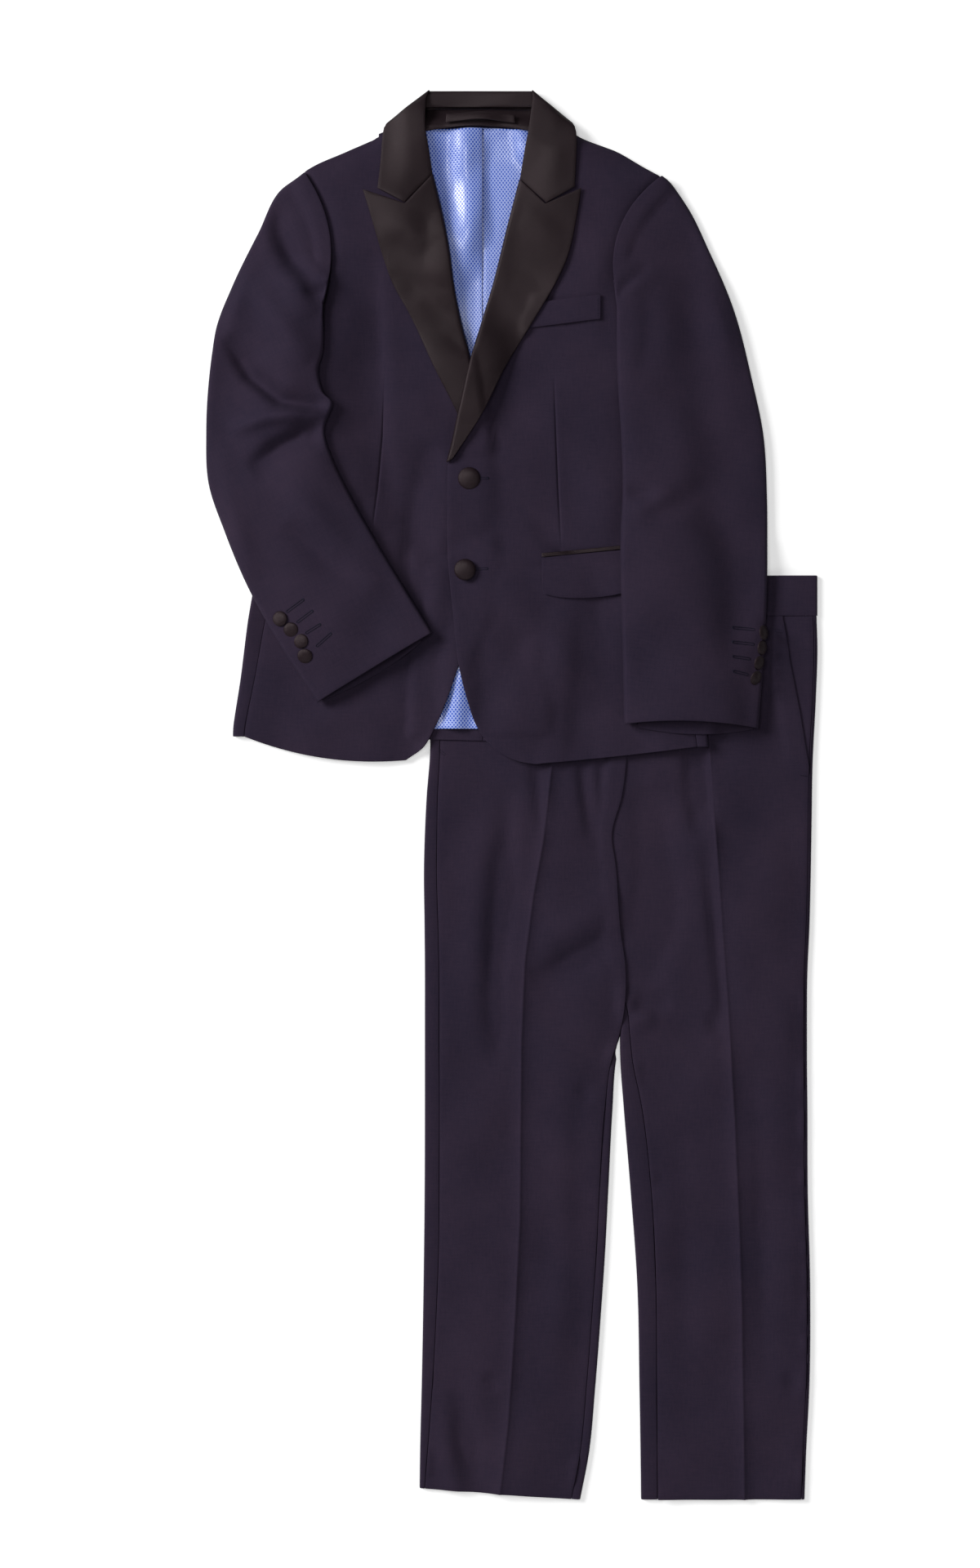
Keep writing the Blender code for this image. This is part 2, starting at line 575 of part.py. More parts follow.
class Piece:
    """Middle surface of a wall: a grid of points with the level of each column."""

    def __init__(self, name, plan, levels, low, high, look=WOOL):
        self.name = name
        self.look = look
        self.levels = levels
        height = low + (high - low) * levels
        self.points = np.concatenate([plan, height[:, :, None]], axis=2)
        self.faces = grid_faces(*plan.shape[:2])

    def part(self, upper):
        """Faces of the upper or of the lower layer."""
        level = self.levels.ravel()[self.faces]
        return self.faces[(level > 0.9).all(axis=1) if upper else (level < 0.1).all(axis=1)]

    def clear(self, pile, upper=True):
        faces = self.part(upper)
        if len(faces):
            self.points = pile.clear(self.points, faces)

    def lay(self, pile, upper=None):
        faces = self.faces if upper is None else self.part(upper)
        if len(faces):
            pile.lay(self.points, faces)

    def build(self, collection):
        """Open surface with its thickness from a Solidify modifier."""
        mesh = bpy.data.meshes.new(self.name)
        points = self.points.reshape(-1, 3) * MM
        mesh.from_pydata(points.tolist(), [], self.faces.tolist())
        mesh.shade_smooth()
        mesh.materials.append(material(*self.look))
        thing = bpy.data.objects.new(self.name, mesh)
        collection.objects.link(thing)
        solidify = thing.modifiers.new("wall", "SOLIDIFY")
        solidify.thickness = WALL * MM
        solidify.offset = 0
        return thing


def tube_piece(name, ends, seams, fold, upper, count, low, loft, bow=None, look=WOOL, folds=()):
    """Upper or lower part of a flat tube; low gives the height below plan points."""
    width = width_of(ends)
    along, levels = tube_columns(width, seams[0], seams[1], fold, upper, count)
    plan = place(ends, along, bow)
    share = np.clip(along / width[:, None], 0, 1)
    bottom = low(plan)
    top = bottom + 2 * fold + loft[:, None] * np.sin(np.pi * share) ** SWELL + folded(plan, folds)
    return Piece(name, plan, levels, bottom, top, look)


def laid_piece(name, rows, count, ground, pile, look=WOOL, step=STEP, folds=(), reach=NEAR):
    """Piece that lies on the pile; its rises count from the ground that it belongs to."""
    ends = spread(rows, step) if isinstance(rows, list) else rows
    share = shares(count, ends[:, 5]) * np.ones((len(ends), 1))
    along = share * width_of(ends)[:, None]
    plan = place(ends, along, ends[:, 4], ends[:, 5])
    side = np.where(share < 0.5, ends[:, 6:7], ends[:, 8:9])
    rise = side + (ends[:, 7:8] - side) * np.sin(np.pi * share) ** SWELL
    height = ground.rest(plan, reach) + rise + folded(plan, folds)
    piece = Piece(name, plan, np.ones(share.shape), height, height, look)
    piece.clear(pile)
    return piece


def material(name, colour, roughness):
    """Plain finish of one kind of cloth."""
    look = bpy.data.materials.get(name)
    if look is None:
        look = bpy.data.materials.new(name)
        look.use_nodes = True
        shader = look.node_tree.nodes["Principled BSDF"]
        shader.inputs["Base Color"].default_value = (*colour, 1)
        shader.inputs["Roughness"].default_value = roughness
    return look


# ---------------------------------------------------------------- trousers

def on_floor(plan):
    return np.full(plan.shape[:2], WALL / 2)


def leg(side, table, pile):
    """Back and front of one leg, and the sampled rows that they share."""
    rows = spread(table)
    ends, seams = rows[:, 0:4], (rows[:, 4], rows[:, 5])
    wrap = np.clip(rows[:, 6:7], 0, 1)
    width = width_of(ends)
    loft = np.full(len(rows), LEG_LOFT)

    along, levels = tube_columns(width, seams[0], np.maximum(seams[1], SEAM_UNDER), TROUSER_FOLD, False, 5)
    turned = len(turn(TROUSER_FOLD)) + 1
    flat = width[:, None] - SEAM / 2 - np.linspace(SEAT_EDGE, 0, turned)
    inner = along[:, turned:-turned]
    share = np.linspace(0, 1, inner.shape[1] + 2)[1:-1]
    opened = along[:, turned - 1:turned] * (1 - share) + flat[:, 0:1] * share
    along[:, turned:-turned] = inner * wrap + opened * (1 - wrap)
    along[:, -turned:] = along[:, -turned:] * wrap + flat * (1 - wrap)
    levels[:, -turned:] *= wrap
    plan = place(ends, along)
    top = on_floor(plan) + 2 * TROUSER_FOLD
    back = Piece(f"trouser_back_{side}", plan, levels, on_floor(plan), top)
    back.lay(pile, upper=False)
    turning = (np.diff(wrap[:, 0]) != 0).nonzero()[0]
    pile.lay(back.points, back.faces[np.isin(back.faces.min(axis=1) // plan.shape[1], turning)])

    if side == "left":
        mouth = np.array(POCKET_MOUTH)[::-1]
        inside = np.interp(rows[:, 1], mouth[:, 0], mouth[:, 1], left=0)
        seams = (np.maximum(seams[0], inside), seams[1])
    first = seams[0] + SEAM / 2
    last = width - seams[1] - SEAM / 2
    crease = np.array(CREASES[side])[::-1]
    crease_at = np.abs(np.interp(rows[:, 1], crease[:, 1], crease[:, 0]) - rows[:, 0])
    share = np.linspace(0, 1, 4)[None, :]
    outer = first[:, None] * (1 - share) + (crease_at - CREASE_HALF)[:, None] * share
    inner = (crease_at + CREASE_HALF)[:, None] * (1 - share) + last[:, None] * share
    along = np.concatenate([outer, crease_at[:, None], inner], axis=1)
    plan = place(ends, along)
    over = loft[:, None] * np.sin(np.pi * np.clip(along / width[:, None], 0, 1)) ** SWELL
    pressed = Fold(CREASE_HALF, CREASE_RISE, 0, CREASES[side])
    top = on_floor(plan) + 2 * TROUSER_FOLD + over + folded(plan, [pressed] + LEG_FOLDS)
    front = Piece(f"trouser_front_{side}", plan, np.ones(along.shape), top, top)
    return back, front, rows


def pocket_facing(rows):
    """Piece that shows between the slanted pocket mouth and the side seam."""
    mouth = np.array(POCKET_MOUTH)[::-1]
    shown = rows[(rows[:, 1] >= POCKET_MOUTH[-1].y - 1)]
    inside = np.interp(shown[:, 1], mouth[:, 0], mouth[:, 1])
    first = shown[:, 4] + SEAM / 2
    last = inside + FACING_UNDERLAP
    share = np.linspace(0, 1, 4)[None, :]
    along = first[:, None] * (1 - share) + last[:, None] * share
    plan = place(shown[:, 0:4], along)
    height = on_floor(plan) + 2 * TROUSER_FOLD - 0.2 * share
    return Piece("pocket_facing", plan, np.ones(plan.shape[:2]), height, height)


def trousers(pile):
    """All pieces of the trousers, laid on the floor."""
    back_r, front_r, _ = leg("right", RIGHT_LEG, pile)
    back_l, front_l, rows = leg("left", LEFT_LEG, pile)
    ends = spread([Row(WAISTBAND_ENDS[0], y, WAISTBAND_ENDS[1], y) for y in WAISTBAND])
    size = len(ends)
    seams = [np.full(size, seam) for seam in WAISTBAND_SEAMS]
    loft = np.full(size, WAISTBAND_LOFT)
    band_back = tube_piece("waistband_back", ends, seams, TROUSER_FOLD, False, 6, on_floor, loft)
    band_front = tube_piece("waistband_front", ends, seams, TROUSER_FOLD, True, 16, on_floor, loft)
    facing = pocket_facing(rows)
    band_back.lay(pile, upper=False)
    facing.clear(pile)

    facing_pile = pile.copy()
    facing.lay(facing_pile)
    front_l.clear(facing_pile)
    front_l.lay(pile)
    front_r.clear(pile)
    pieces = [back_r, back_l, band_back, facing, front_l, front_r, band_front]
    for piece in pieces:
        piece.lay(pile)
    return pieces


# ---------------------------------------------------------------- jacket body

def body_half(side, table, pile):
    """Front, side body and back of one half; the side body and back follow the front's rows."""
    rows = spread(table)
    sign, seam_x, seam_y, column = (-1, 0, 1, 1) if side == "right" else (1, 2, 3, 2)
    fold_table = np.array(SIDE_FOLD)[::-1]
    low_rows = rows[rows[:, seam_y] <= ARMPIT_Y]
    x, y = low_rows[:, seam_x], low_rows[:, seam_y]
    flange = np.interp(y, fold_table[:, 0], fold_table[:, column])
    fold_x = x + sign * flange
    under_x = fold_x - sign * SIDE_UNDER
    ends = np.stack([fold_x, y, under_x, y], axis=1)
    seams = (flange, np.full(len(x), -0.01))
    side_body = tube_piece(f"side_{side}", ends, seams, BODY_FOLD, False, 2, pile.rest, 0 * x)

    back_rows = np.zeros((len(rows), 9))
    back_rows[:, 0], back_rows[:, 1] = rows[:, seam_x], rows[:, seam_y]
    back_rows[-len(x):, 0] = under_x - sign * SEAM
    back_rows[:, 2], back_rows[:, 3] = CENTRE_BACK + sign * SEAM / 2, rows[:, seam_y]
    drop = np.clip((BACK_DROP_Y - back_rows[:, 3]) / (BACK_DROP_Y - back_rows[-1, 3]), 0, 1)
    back_rows[:, 3] += (BACK_HEM_Y - back_rows[-1, 3]) * drop
    back_rows[:, 5] = 0.5
    first = len(rows) - len(x)
    armpit = [x[0], y[0] + SEAM, back_rows[first, 2], y[0] + SEAM, 0, 0.5, 0, 0, 0]
    back_rows = np.insert(back_rows, first, armpit, axis=0)
    back = laid_piece(f"back_{side}", back_rows, 6, pile, pile)
    return rows, side_body, back


def collar(low_pile, pile):
    """Both leaves and the fall under the neck, one strip folded over the shoulders."""
    leaf_r, leaf_l, fall = spread(LEAF_RIGHT), spread(LEAF_LEFT), spread(FALL)
    bend_r = bend(leaf_r[-1], np.array(FOLD_RIGHT), fall[0])
    bend_l = bend(fall[-1], np.array(FOLD_LEFT), leaf_l[0])
    rows = np.concatenate([leaf_r, bend_r[0], fall, bend_l[0], leaf_l])
    level = np.concatenate([np.ones(len(leaf_r)), bend_r[1], np.zeros(len(fall)), 1 - bend_l[1],
                            np.ones(len(leaf_l))])
    share = shares(6, rows[:, 5]) * np.ones((len(rows), 1))
    plan = place(rows, share * width_of(rows)[:, None], rows[:, 4], rows[:, 5])
    levels = level[:, None] * np.ones((1, plan.shape[1]))
    piece = Piece("collar", plan, levels, low_pile.rest(plan), pile.rest(plan), SATIN)
    piece.clear(pile)
    return piece


def bend(first, fold, last):
    """Rows round a fold between two rows, with their levels from 1 down to 0."""
    rows, levels = [], []
    for angle in (50, 0, -50):
        near = first if angle > 0 else last
        rows.append(fold + (near - fold) * (1 - cos(radians(angle))))
        levels.append((1 + sin(radians(angle))) / 2)
    return np.array(rows), np.array(levels)


def lapel(side, table, low_pile, pile):
    """Satin lapel that rolls over the front's edge."""
    rows = spread(table, LAPEL_STEP)
    width = width_of(rows)
    roll_at_b = side == "right"
    outer, roll = np.full(len(rows), EDGE_SEAM), np.full(len(rows), -LAPEL_UNDER)
    seams = (outer, roll) if roll_at_b else (roll, outer)
    along, levels = tube_columns(width, *seams, ROLL_FOLD, True, 6)
    along = np.minimum(along, width[:, None])
    corner_column = 3 if roll_at_b else along.shape[1] - 4
    along[:, corner_column] = rows[:, 5] * width
    plan = place(rows, along, rows[:, 4], rows[:, 5])
    low = low_pile.rest(plan)
    high = np.maximum(pile.rest(plan), low + 2 * ROLL_FOLD - WALL)
    piece = Piece(f"lapel_{side}", plan, levels, low, high, SATIN)
    piece.clear(pile)
    return piece


def stand(pile):
    """Inside of the collar at the back of the neck, rolling over to the fall."""
    rows = spread(STAND)
    size = len(rows)
    seams = (np.full(size, EDGE_SEAM), np.full(size, -STAND_UNDER))
    return tube_piece("collar_stand", rows, seams, ROLL_FOLD, True, 3, pile.rest, np.zeros(size),
                      look=SATIN)


def sleeve(side, table, pile):
    """Under sleeve, which wraps the fold at the back of the arm, and top sleeve."""
    rows = spread(table)
    ends, bow, loft, gape = rows[:, 0:4], rows[:, 4], rows[:, 5], rows[:, 6]
    seams = [np.full(len(rows), seam) for seam in SLEEVE_SEAMS]

    def low(plan):
        """Beside the armhole the sleeve lies as low as the front; further down it lies on the jacket."""
        share = np.clip((plan[..., 1] - ARMPIT_Y) / HEAD_RAMP - 0.6, 0, 1)
        return pile.rest(plan, WIDE) * (1 - share) + WALL / 2 * share

    under = tube_piece(f"under_sleeve_{side}", ends[1:], [seam[1:] for seam in seams], SLEEVE_FOLD, False,
                       6, low, loft[1:], (bow + gape)[1:])
    under.clear(pile, upper=False)
    under.lay(pile, upper=False)
    top = tube_piece(f"top_sleeve_{side}", ends, seams, SLEEVE_FOLD, True, 9, low, loft, bow,
                     folds=SLEEVE_FOLDS)
    top.clear(pile)
    top.lay(pile)
    under.lay(pile)
    return [under, top]


def jacket(pile):
    """All pieces of the jacket, laid on the trousers in the order in which they lie."""
    floor = pile.copy()
    laid_piece("fall", FALL, 4, pile, pile).lay(pile)
    ground = pile.copy()
    rows_r, side_r, back_r = body_half("right", FRONT_RIGHT, pile)
    rows_l, side_l, back_l = body_half("left", FRONT_LEFT, pile)
    collar_stand = stand(pile)
    for piece in (side_r, side_l):
        piece.clear(pile, upper=False)
        piece.lay(pile, upper=False)
    for piece in (back_r, back_l):
        piece.lay(pile)
    lining = [laid_piece("lining_right", LINING_RIGHT, 3, pile, pile, LINING, LINING_STEP),
              laid_piece("lining_left", LINING_LEFT, 3, pile, pile, LINING, LINING_STEP)]
    for piece in lining:
        piece.lay(pile)
    facing = laid_piece("neck_facing", NECK_FACING, 3, pile, pile, SATIN)
    facing.lay(pile)
    loop = laid_piece("hanger_loop", HANGER_LOOP, 2, pile, pile, SATIN, LOOP_STEP)
    loop.lay(pile)
    collar_stand.lay(pile)

    before_right = pile.copy()
    front_r = laid_piece("front_right", rows_r, 10, ground, pile, folds=BODY_FOLDS)
    front_r.lay(pile)
    lapel_r = lapel("right", LAPEL_RIGHT, before_right, pile)
    neck_pile = pile.copy()
    lapel_r.lay(pile)

    before_left = pile.copy()
    front_l = laid_piece("front_left", rows_l, 10, ground, pile)
    front_l.lay(pile)
    front_l.lay(neck_pile)
    lapel_l = lapel("left", LAPEL_LEFT, before_left, pile)
    welt = laid_piece("breast_welt", BREAST_WELT, 2, pile, pile, WOOL, TRIM_STEP)
    welt.lay(pile)
    lapel_l.clear(pile)
    lapel_l.lay(pile)
    leaves = collar(floor, neck_pile)
    leaves.lay(pile)
    pockets = pocket(pile)
    for piece in (side_r, side_l):
        piece.lay(pile)
    pieces = [side_r, back_r, side_l, back_l, collar_stand, facing, *lining, loop, front_r, lapel_r,
              front_l, lapel_l, welt, leaves, *pockets]
    pieces += sleeve("right", SLEEVE_RIGHT, pile)
    pieces += sleeve("left", SLEEVE_LEFT, pile)
    return pieces


def pocket(pile):
    """Hip pocket: a satin jet with the flap that hangs from below it."""
    jet = laid_piece("pocket_jet", POCKET_JET, 1, pile, pile, SATIN, TRIM_STEP)
    flap = laid_piece("pocket_flap", POCKET_FLAP, 2, pile, pile, WOOL, TRIM_STEP)
    for piece in (jet, flap):
        piece.lay(pile)
    return [jet, flap]


# ---------------------------------------------------------------- buttons

def button(spec, pile, collection):
    """Covered button, domed on top and flat below, turned about its own axis."""
    height = BUTTON_HEIGHT * spec.radius
    profile = [(0, 1), (0.45, 0.91), (0.8, 0.6), (1, 0.2), (0.92, 0), (0, 0)]
    mesh = bpy.data.meshes.new(spec.name)
    points = [(r * spec.radius * MM, 0, z * height * MM) for r, z in profile]
    mesh.from_pydata(points, [(i, i + 1) for i in range(len(points) - 1)], [])
    mesh.materials.append(material(*SATIN))
    thing = bpy.data.objects.new(spec.name, mesh)
    collection.objects.link(thing)
    screw = thing.modifiers.new("turn", "SCREW")
    screw.steps = screw.render_steps = 14
    screw.use_merge_vertices = True
    screw.merge_threshold = 0.00001
    screw.use_smooth_shade = True

    lean, heading = radians(spec.lean), radians(spec.heading)
    around = np.linspace(0, 2 * np.pi, 24, endpoint=False)
    reach = np.array([0.0, 0.5, 1.0])[:, None] * spec.radius
    down, across = reach * np.cos(around), reach * np.sin(around)
    under = np.stack([spec.x + down * cos(lean) * cos(heading) - across * sin(heading),
                      spec.y + down * cos(lean) * sin(heading) + across * cos(heading)], axis=2)
    seat = (lookup(pile.top, under) + down * sin(lean)).max()
    thing.location = (spec.x * MM, spec.y * MM, (seat + BUTTON_GAP) * MM)
    thing.rotation_mode = "QUATERNION"
    thing.rotation_quaternion = Quaternion((-sin(heading), cos(heading), 0), lean)
    return thing


# ---------------------------------------------------------------- whole

def main():
    for thing in list(bpy.data.objects):
        bpy.data.objects.remove(thing)
    collection = bpy.data.collections.new("tuxedo")
    bpy.context.scene.collection.children.link(collection)
    pile = Pile()
    for piece in trousers(pile) + jacket(pile):
        piece.build(collection)
    for spec in FRONT_BUTTONS + CUFF_BUTTONS:
        button(spec, pile, collection)


main()
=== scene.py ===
"""Visual model of a boy's two-piece tuxedo that lies flat, the jacket on its own pressed trousers.

Every cut piece of cloth is a thin wall with rounded rims on its solid's form. Short tables give its
outline, and its height comes from what already lies below it: the pieces are laid on one another in
the order in which they lie on the floor. Tables are in millimetres, with +X at the wearer's left,
+Y at the collar and the floor at z = 0.
"""

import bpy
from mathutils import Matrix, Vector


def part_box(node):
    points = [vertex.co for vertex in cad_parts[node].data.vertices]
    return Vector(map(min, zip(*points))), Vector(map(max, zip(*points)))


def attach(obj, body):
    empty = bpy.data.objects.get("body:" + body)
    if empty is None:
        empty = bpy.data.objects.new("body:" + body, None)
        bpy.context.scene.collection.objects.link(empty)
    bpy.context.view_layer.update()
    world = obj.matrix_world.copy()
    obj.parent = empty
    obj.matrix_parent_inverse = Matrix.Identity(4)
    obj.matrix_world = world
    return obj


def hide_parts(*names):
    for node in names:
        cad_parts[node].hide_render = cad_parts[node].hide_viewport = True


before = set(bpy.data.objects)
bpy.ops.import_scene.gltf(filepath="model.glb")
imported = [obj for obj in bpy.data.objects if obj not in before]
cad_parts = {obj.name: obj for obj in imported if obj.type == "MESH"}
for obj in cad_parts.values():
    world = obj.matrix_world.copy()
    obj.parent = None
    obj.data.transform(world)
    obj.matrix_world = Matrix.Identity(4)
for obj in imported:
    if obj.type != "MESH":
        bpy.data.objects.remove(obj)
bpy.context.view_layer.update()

from collections import namedtuple
from contextlib import contextmanager
from math import ceil, cos, pi, radians, sin

import bpy
import numpy as np
from bpy.props import FloatProperty, FloatVectorProperty, PointerProperty
from mathutils import Matrix, Vector

bl_info = {
    "name": "Boy's tuxedo laid flat",
    "version": (1, 0, 0),
    "blender": (4, 5, 0),
    "location": "3D View > Sidebar > Tuxedo",
    "description": "Builds a jacket with satin lapels that lies on its trousers, piece by piece",
    "category": "Add Mesh",
}

# ---------------------------------------------------------------- sizes in millimetres

MM = 0.001
WALL = 1.2            # thickness of the cloth
SEAM = 0.3            # gap between two pieces sewn edge to edge
AIR = 0.42            # gap between two layers that lie on each other
CELL = 2.0            # cell of the map of heights
MAP_HALF = (300.0, 672.0)             # half the width and half the length of that map
SAMPLE_SHARE = 0.7    # distance of the spots that are put on the map, as a share of a cell
FINE = 1.0
STEP = 4.0 * FINE     # spacing of the rows of a wall
TURN_POINTS = 9       # points round a fold
RIM_ANGLES = (45, 0, -45)             # points round the rim of a wall, in degrees
TINY = 1e-12          # keeps a division by a length from failing where it is 0

TROUSER_FOLD = 2.0    # radius of the round folds at the sides of a leg
BODY_FOLD = 2.6       # the same for the jacket's sides
SLEEVE_FOLD = 3.0
ROLL_FOLD = 2.4       # roll of the lapels and of the collar
CREASE_RISE = 2.6     # pressed crease of a trouser leg
LEG_LOFT = 1.6        # how much the middle of a leg stands above its folds
NEAR, WIDE = 6.0, 18.0                # how far laid cloth spreads over a step before it touches down
STEEPEST = 0.5        # least upright share of a wall's normal that counts for its reach
TOP_LEVEL, LOW_LEVEL = 0.9, 0.1       # levels above and below these are the upper and the lower layer
CORNER_FROM = 0.02    # how far from the middle a bend has to be to count as a corner
SWELL = 0.8           # exponent of a loft: below 1 it rises steeply from the folds
FADE = 0.7            # the same for a fold's fading at both ends of its route
CALM_FLAT, CALM_TUBE = 2, 3           # how soon unevenness begins inside an edge of flat cloth or a tube
WAVE_BEND = 0.35      # how far the crests of the low waves bend
SEAT_EDGE = 15.0      # width of the last columns of a back beside the seat seam
SEAM_UNDER = 4.0      # least width of a back's turned edge beside the inner seam
EDGE_SEAM = 0.15      # a turned edge whose seam lies on the edge itself
UNDER_SEAM = -0.01    # the same with the seam underneath
STAND_UNDER = 3.6     # width of the roll that returns below the collar stand
FACING_DROP = 0.2     # how far the pocket facing sinks towards its hidden edge

# Usual width of a piece, or of cloth on one side of a crease; its columns are spread over it.
WIDTHS = {
    "leg": 170, "crease_side": 75, "fall": 40, "back_right": 110, "back_left": 110,
    "lining_right": 64, "lining_left": 64, "neck_facing": 20, "front_right": 150, "front_left": 170,
    "lapel": 64, "breast_welt": 24, "collar": 50, "pocket_flap": 40, "sleeve": 110,
}
NARROW = 4            # columns of a laid piece that isn't in that list
STAND_COLUMNS = 6

# How far the weave is turned on a piece, in degrees.
SLEEVE_GRAIN = {"right": 24, "left": -6}
LAPEL_GRAIN = {"right": -18, "left": 34}
COLLAR_GRAIN = 60
POCKET_GRAIN = 6

# ---------------------------------------------------------------- outlines

# Row of a leg: its outer and inner edge, the seams' distances from those edges and how far the
# back wraps round the inner edge (0 above the fork, where both backs meet in the seat seam).
Leg = namedtuple("Leg", "out_x out_y in_x in_y out_seam in_seam wrap")

RIGHT_LEG = [
    Leg(-76.0, 164.7, 102.2, 164.7, 8.0, -1.8, 0),
    Leg(-76.0, 100, 102.2, 100, 8.0, -2.8, 0),
    Leg(-74.3, 40, 102.2, 40, 8.4, -3.8, 0),
    Leg(-77.4, 0, 102.2, 0, 9.5, 0.7, 0),
    Leg(-79.2, -37, 102.2, -37, 10.6, 10.0, 0),
    Leg(-79.9, -62, 102.2, -62, 11.0, 6.7, 0),
    Leg(-79.4, -122, 102.2, -122, 12.0, 2.2, 0),
    Leg(-79.1, -158, 102.2, -158, 12.5, -2.5, 0),
    Leg(-79.1, -196, 102.1, -196, 12.7, -1.4, 0),
    Leg(-79.1, -221, 99.6, -221, 12.7, 1.0, 0),
    Leg(-79.1, -242, 95.4, -242, 12.8, 3.5, 1),
    Leg(-79.1, -290, 91.8, -290, 12.9, 6.5, 1),
    Leg(-79.3, -360, 88.2, -360, 12.9, 7.5, 1),
    Leg(-79.9, -420, 85.1, -420, 12.9, 7.5, 1),
    Leg(-80.8, -480, 81.0, -480, 11.5, 7.5, 1),
    Leg(-82.0, -541, 76.1, -543, 9.3, 7.5, 1),
    Leg(-83.4, -598, 70.1, -605, 6.6, 7.5, 1),
    Leg(-83.9, -635.5, 62.2, -645.9, 4.2, 7.5, 1),
]

LEFT_LEG = [
    Leg(279.2, 164.7, 102.5, 164.7, 2.6, -6.5, 0),
    Leg(280.0, 136, 102.5, 136, 2.6, -6.5, 0),
    Leg(278.6, 90, 102.5, 90, 2.6, -6.5, 0),
    Leg(275.6, 30, 102.5, 30, 2.6, -8.0, 0),
    Leg(274.6, -30, 102.5, -30, 2.6, -16.0, 0),
    Leg(273.7, -80, 102.5, -80, 2.6, -14.0, 0),
    Leg(272.6, -122, 102.5, -122, 2.6, -10.0, 0),
    Leg(270.9, -160, 102.5, -160, 2.6, -6.0, 0),
    Leg(270.5, -178, 102.4, -178, 2.6, -1.5, 0),
    Leg(270.4, -196, 102.0, -196, 2.6, 4.0, 1),
    Leg(270.4, -221, 99.9, -221, 2.6, 8.6, 1),
    Leg(270.4, -242, 100.2, -242, 2.6, 10.5, 1),
    Leg(270.8, -283, 103.1, -283, 2.6, 15.8, 1),
    Leg(271.1, -360, 109.5, -360, 2.6, 18.4, 1),
    Leg(273.3, -451, 115.9, -451, 2.6, 16.5, 1),
    Leg(272.6, -542, 117.8, -542, 2.6, 15.3, 1),
    Leg(269.6, -604, 118.8, -604, 2.6, 14.8, 1),
    Leg(268.1, -645.9, 119.3, -645.9, 2.6, 14.6, 1),
]

# Mouth of the slanted pocket: how far it lies inside the leg's outer edge at a height.
Mouth = namedtuple("Mouth", "y inside")
POCKET_MOUTH = [Mouth(164.7, 30.5), Mouth(121, 24), Mouth(76, 13.2), Mouth(27, 2.6)]
FACING_UNDERLAP = 14.0                # width of the facing that the front covers

# Row of a laid piece: its ends, the bow of the row and where along it the bow is greatest,
# and how high the a end, the middle and the b end stand above what the piece is laid on.
Row = namedtuple("Row", "ax ay bx by bow corner rise_a rise_m rise_b", defaults=(0, 0.5, 0, 0, 0))

FRONT_RIGHT = [
    Row(-105, 616, -84, 633, 0, 0.5, 2.0, 3.0, 3.5),
    Row(-118, 606, -84, 611, 0, 0.5, 2.0, 5.0, 4.5),
    Row(-152, 590, -83, 590, 0, 0.5, 2.0, 7.5, 5.0),
    Row(-184.5, 574.9, -77.4, 568, 0, 0.5, 3.6, 9.3, 5.4),
    Row(-189.4, 571.8, -77, 565.5, 0, 0.5, 4.0, 9.5, 5.5),
    Row(-176.6, 548, -70, 543, 0, 0.5, 4.8, 10.0, 5.5),
    Row(-166.9, 519.5, -65, 519, 0, 0.5, 5.2, 10.0, 5.5),
    Row(-164.2, 500, -62, 498, 0, 0.5, 5.2, 9.8, 5.5),
    Row(-165.2, 478.5, -59, 477, 0, 0.5, 5.2, 9.5, 5.5),
    Row(-175, 453, -54, 453, 0, 0.5, 5.2, 9.0, 5.5),
    Row(-177.5, 428, -48, 425, 0, 0.5, 5.2, 8.5, 5.5),
    Row(-181, 390, -40, 393, 0, 0.5, 5.2, 8.0, 5.0),
    Row(-189, 340, -31, 340, 0, 0.5, 5.2, 7.5, 4.5),
    Row(-197, 300, -20, 290, 0, 0.5, 5.2, 7.0, 4.0),
    Row(-211, 230, -20, 230, 0, 0.5, 5.2, 7.0, 4.0),
    Row(-226, 160, -29, 163, 0, 0.5, 5.2, 7.0, 4.5),
    Row(-236, 105, -49, 117, 0, 0.5, 5.2, 6.5, 4.5),
    Row(-242, 76, -60, 86, -1, 0.5, 5.2, 6.0, 4.5),
    Row(-244.3, 64, -71, 61, -4, 0.5, 5.2, 5.6, 4.0),
    Row(-245, 58, -80, 45, -7, 0.5, 5.2, 5.4, 4.0),
    Row(-245.2, 54, -97, 32.3, -9, 0.5, 5.2, 5.2, 4.0),
]

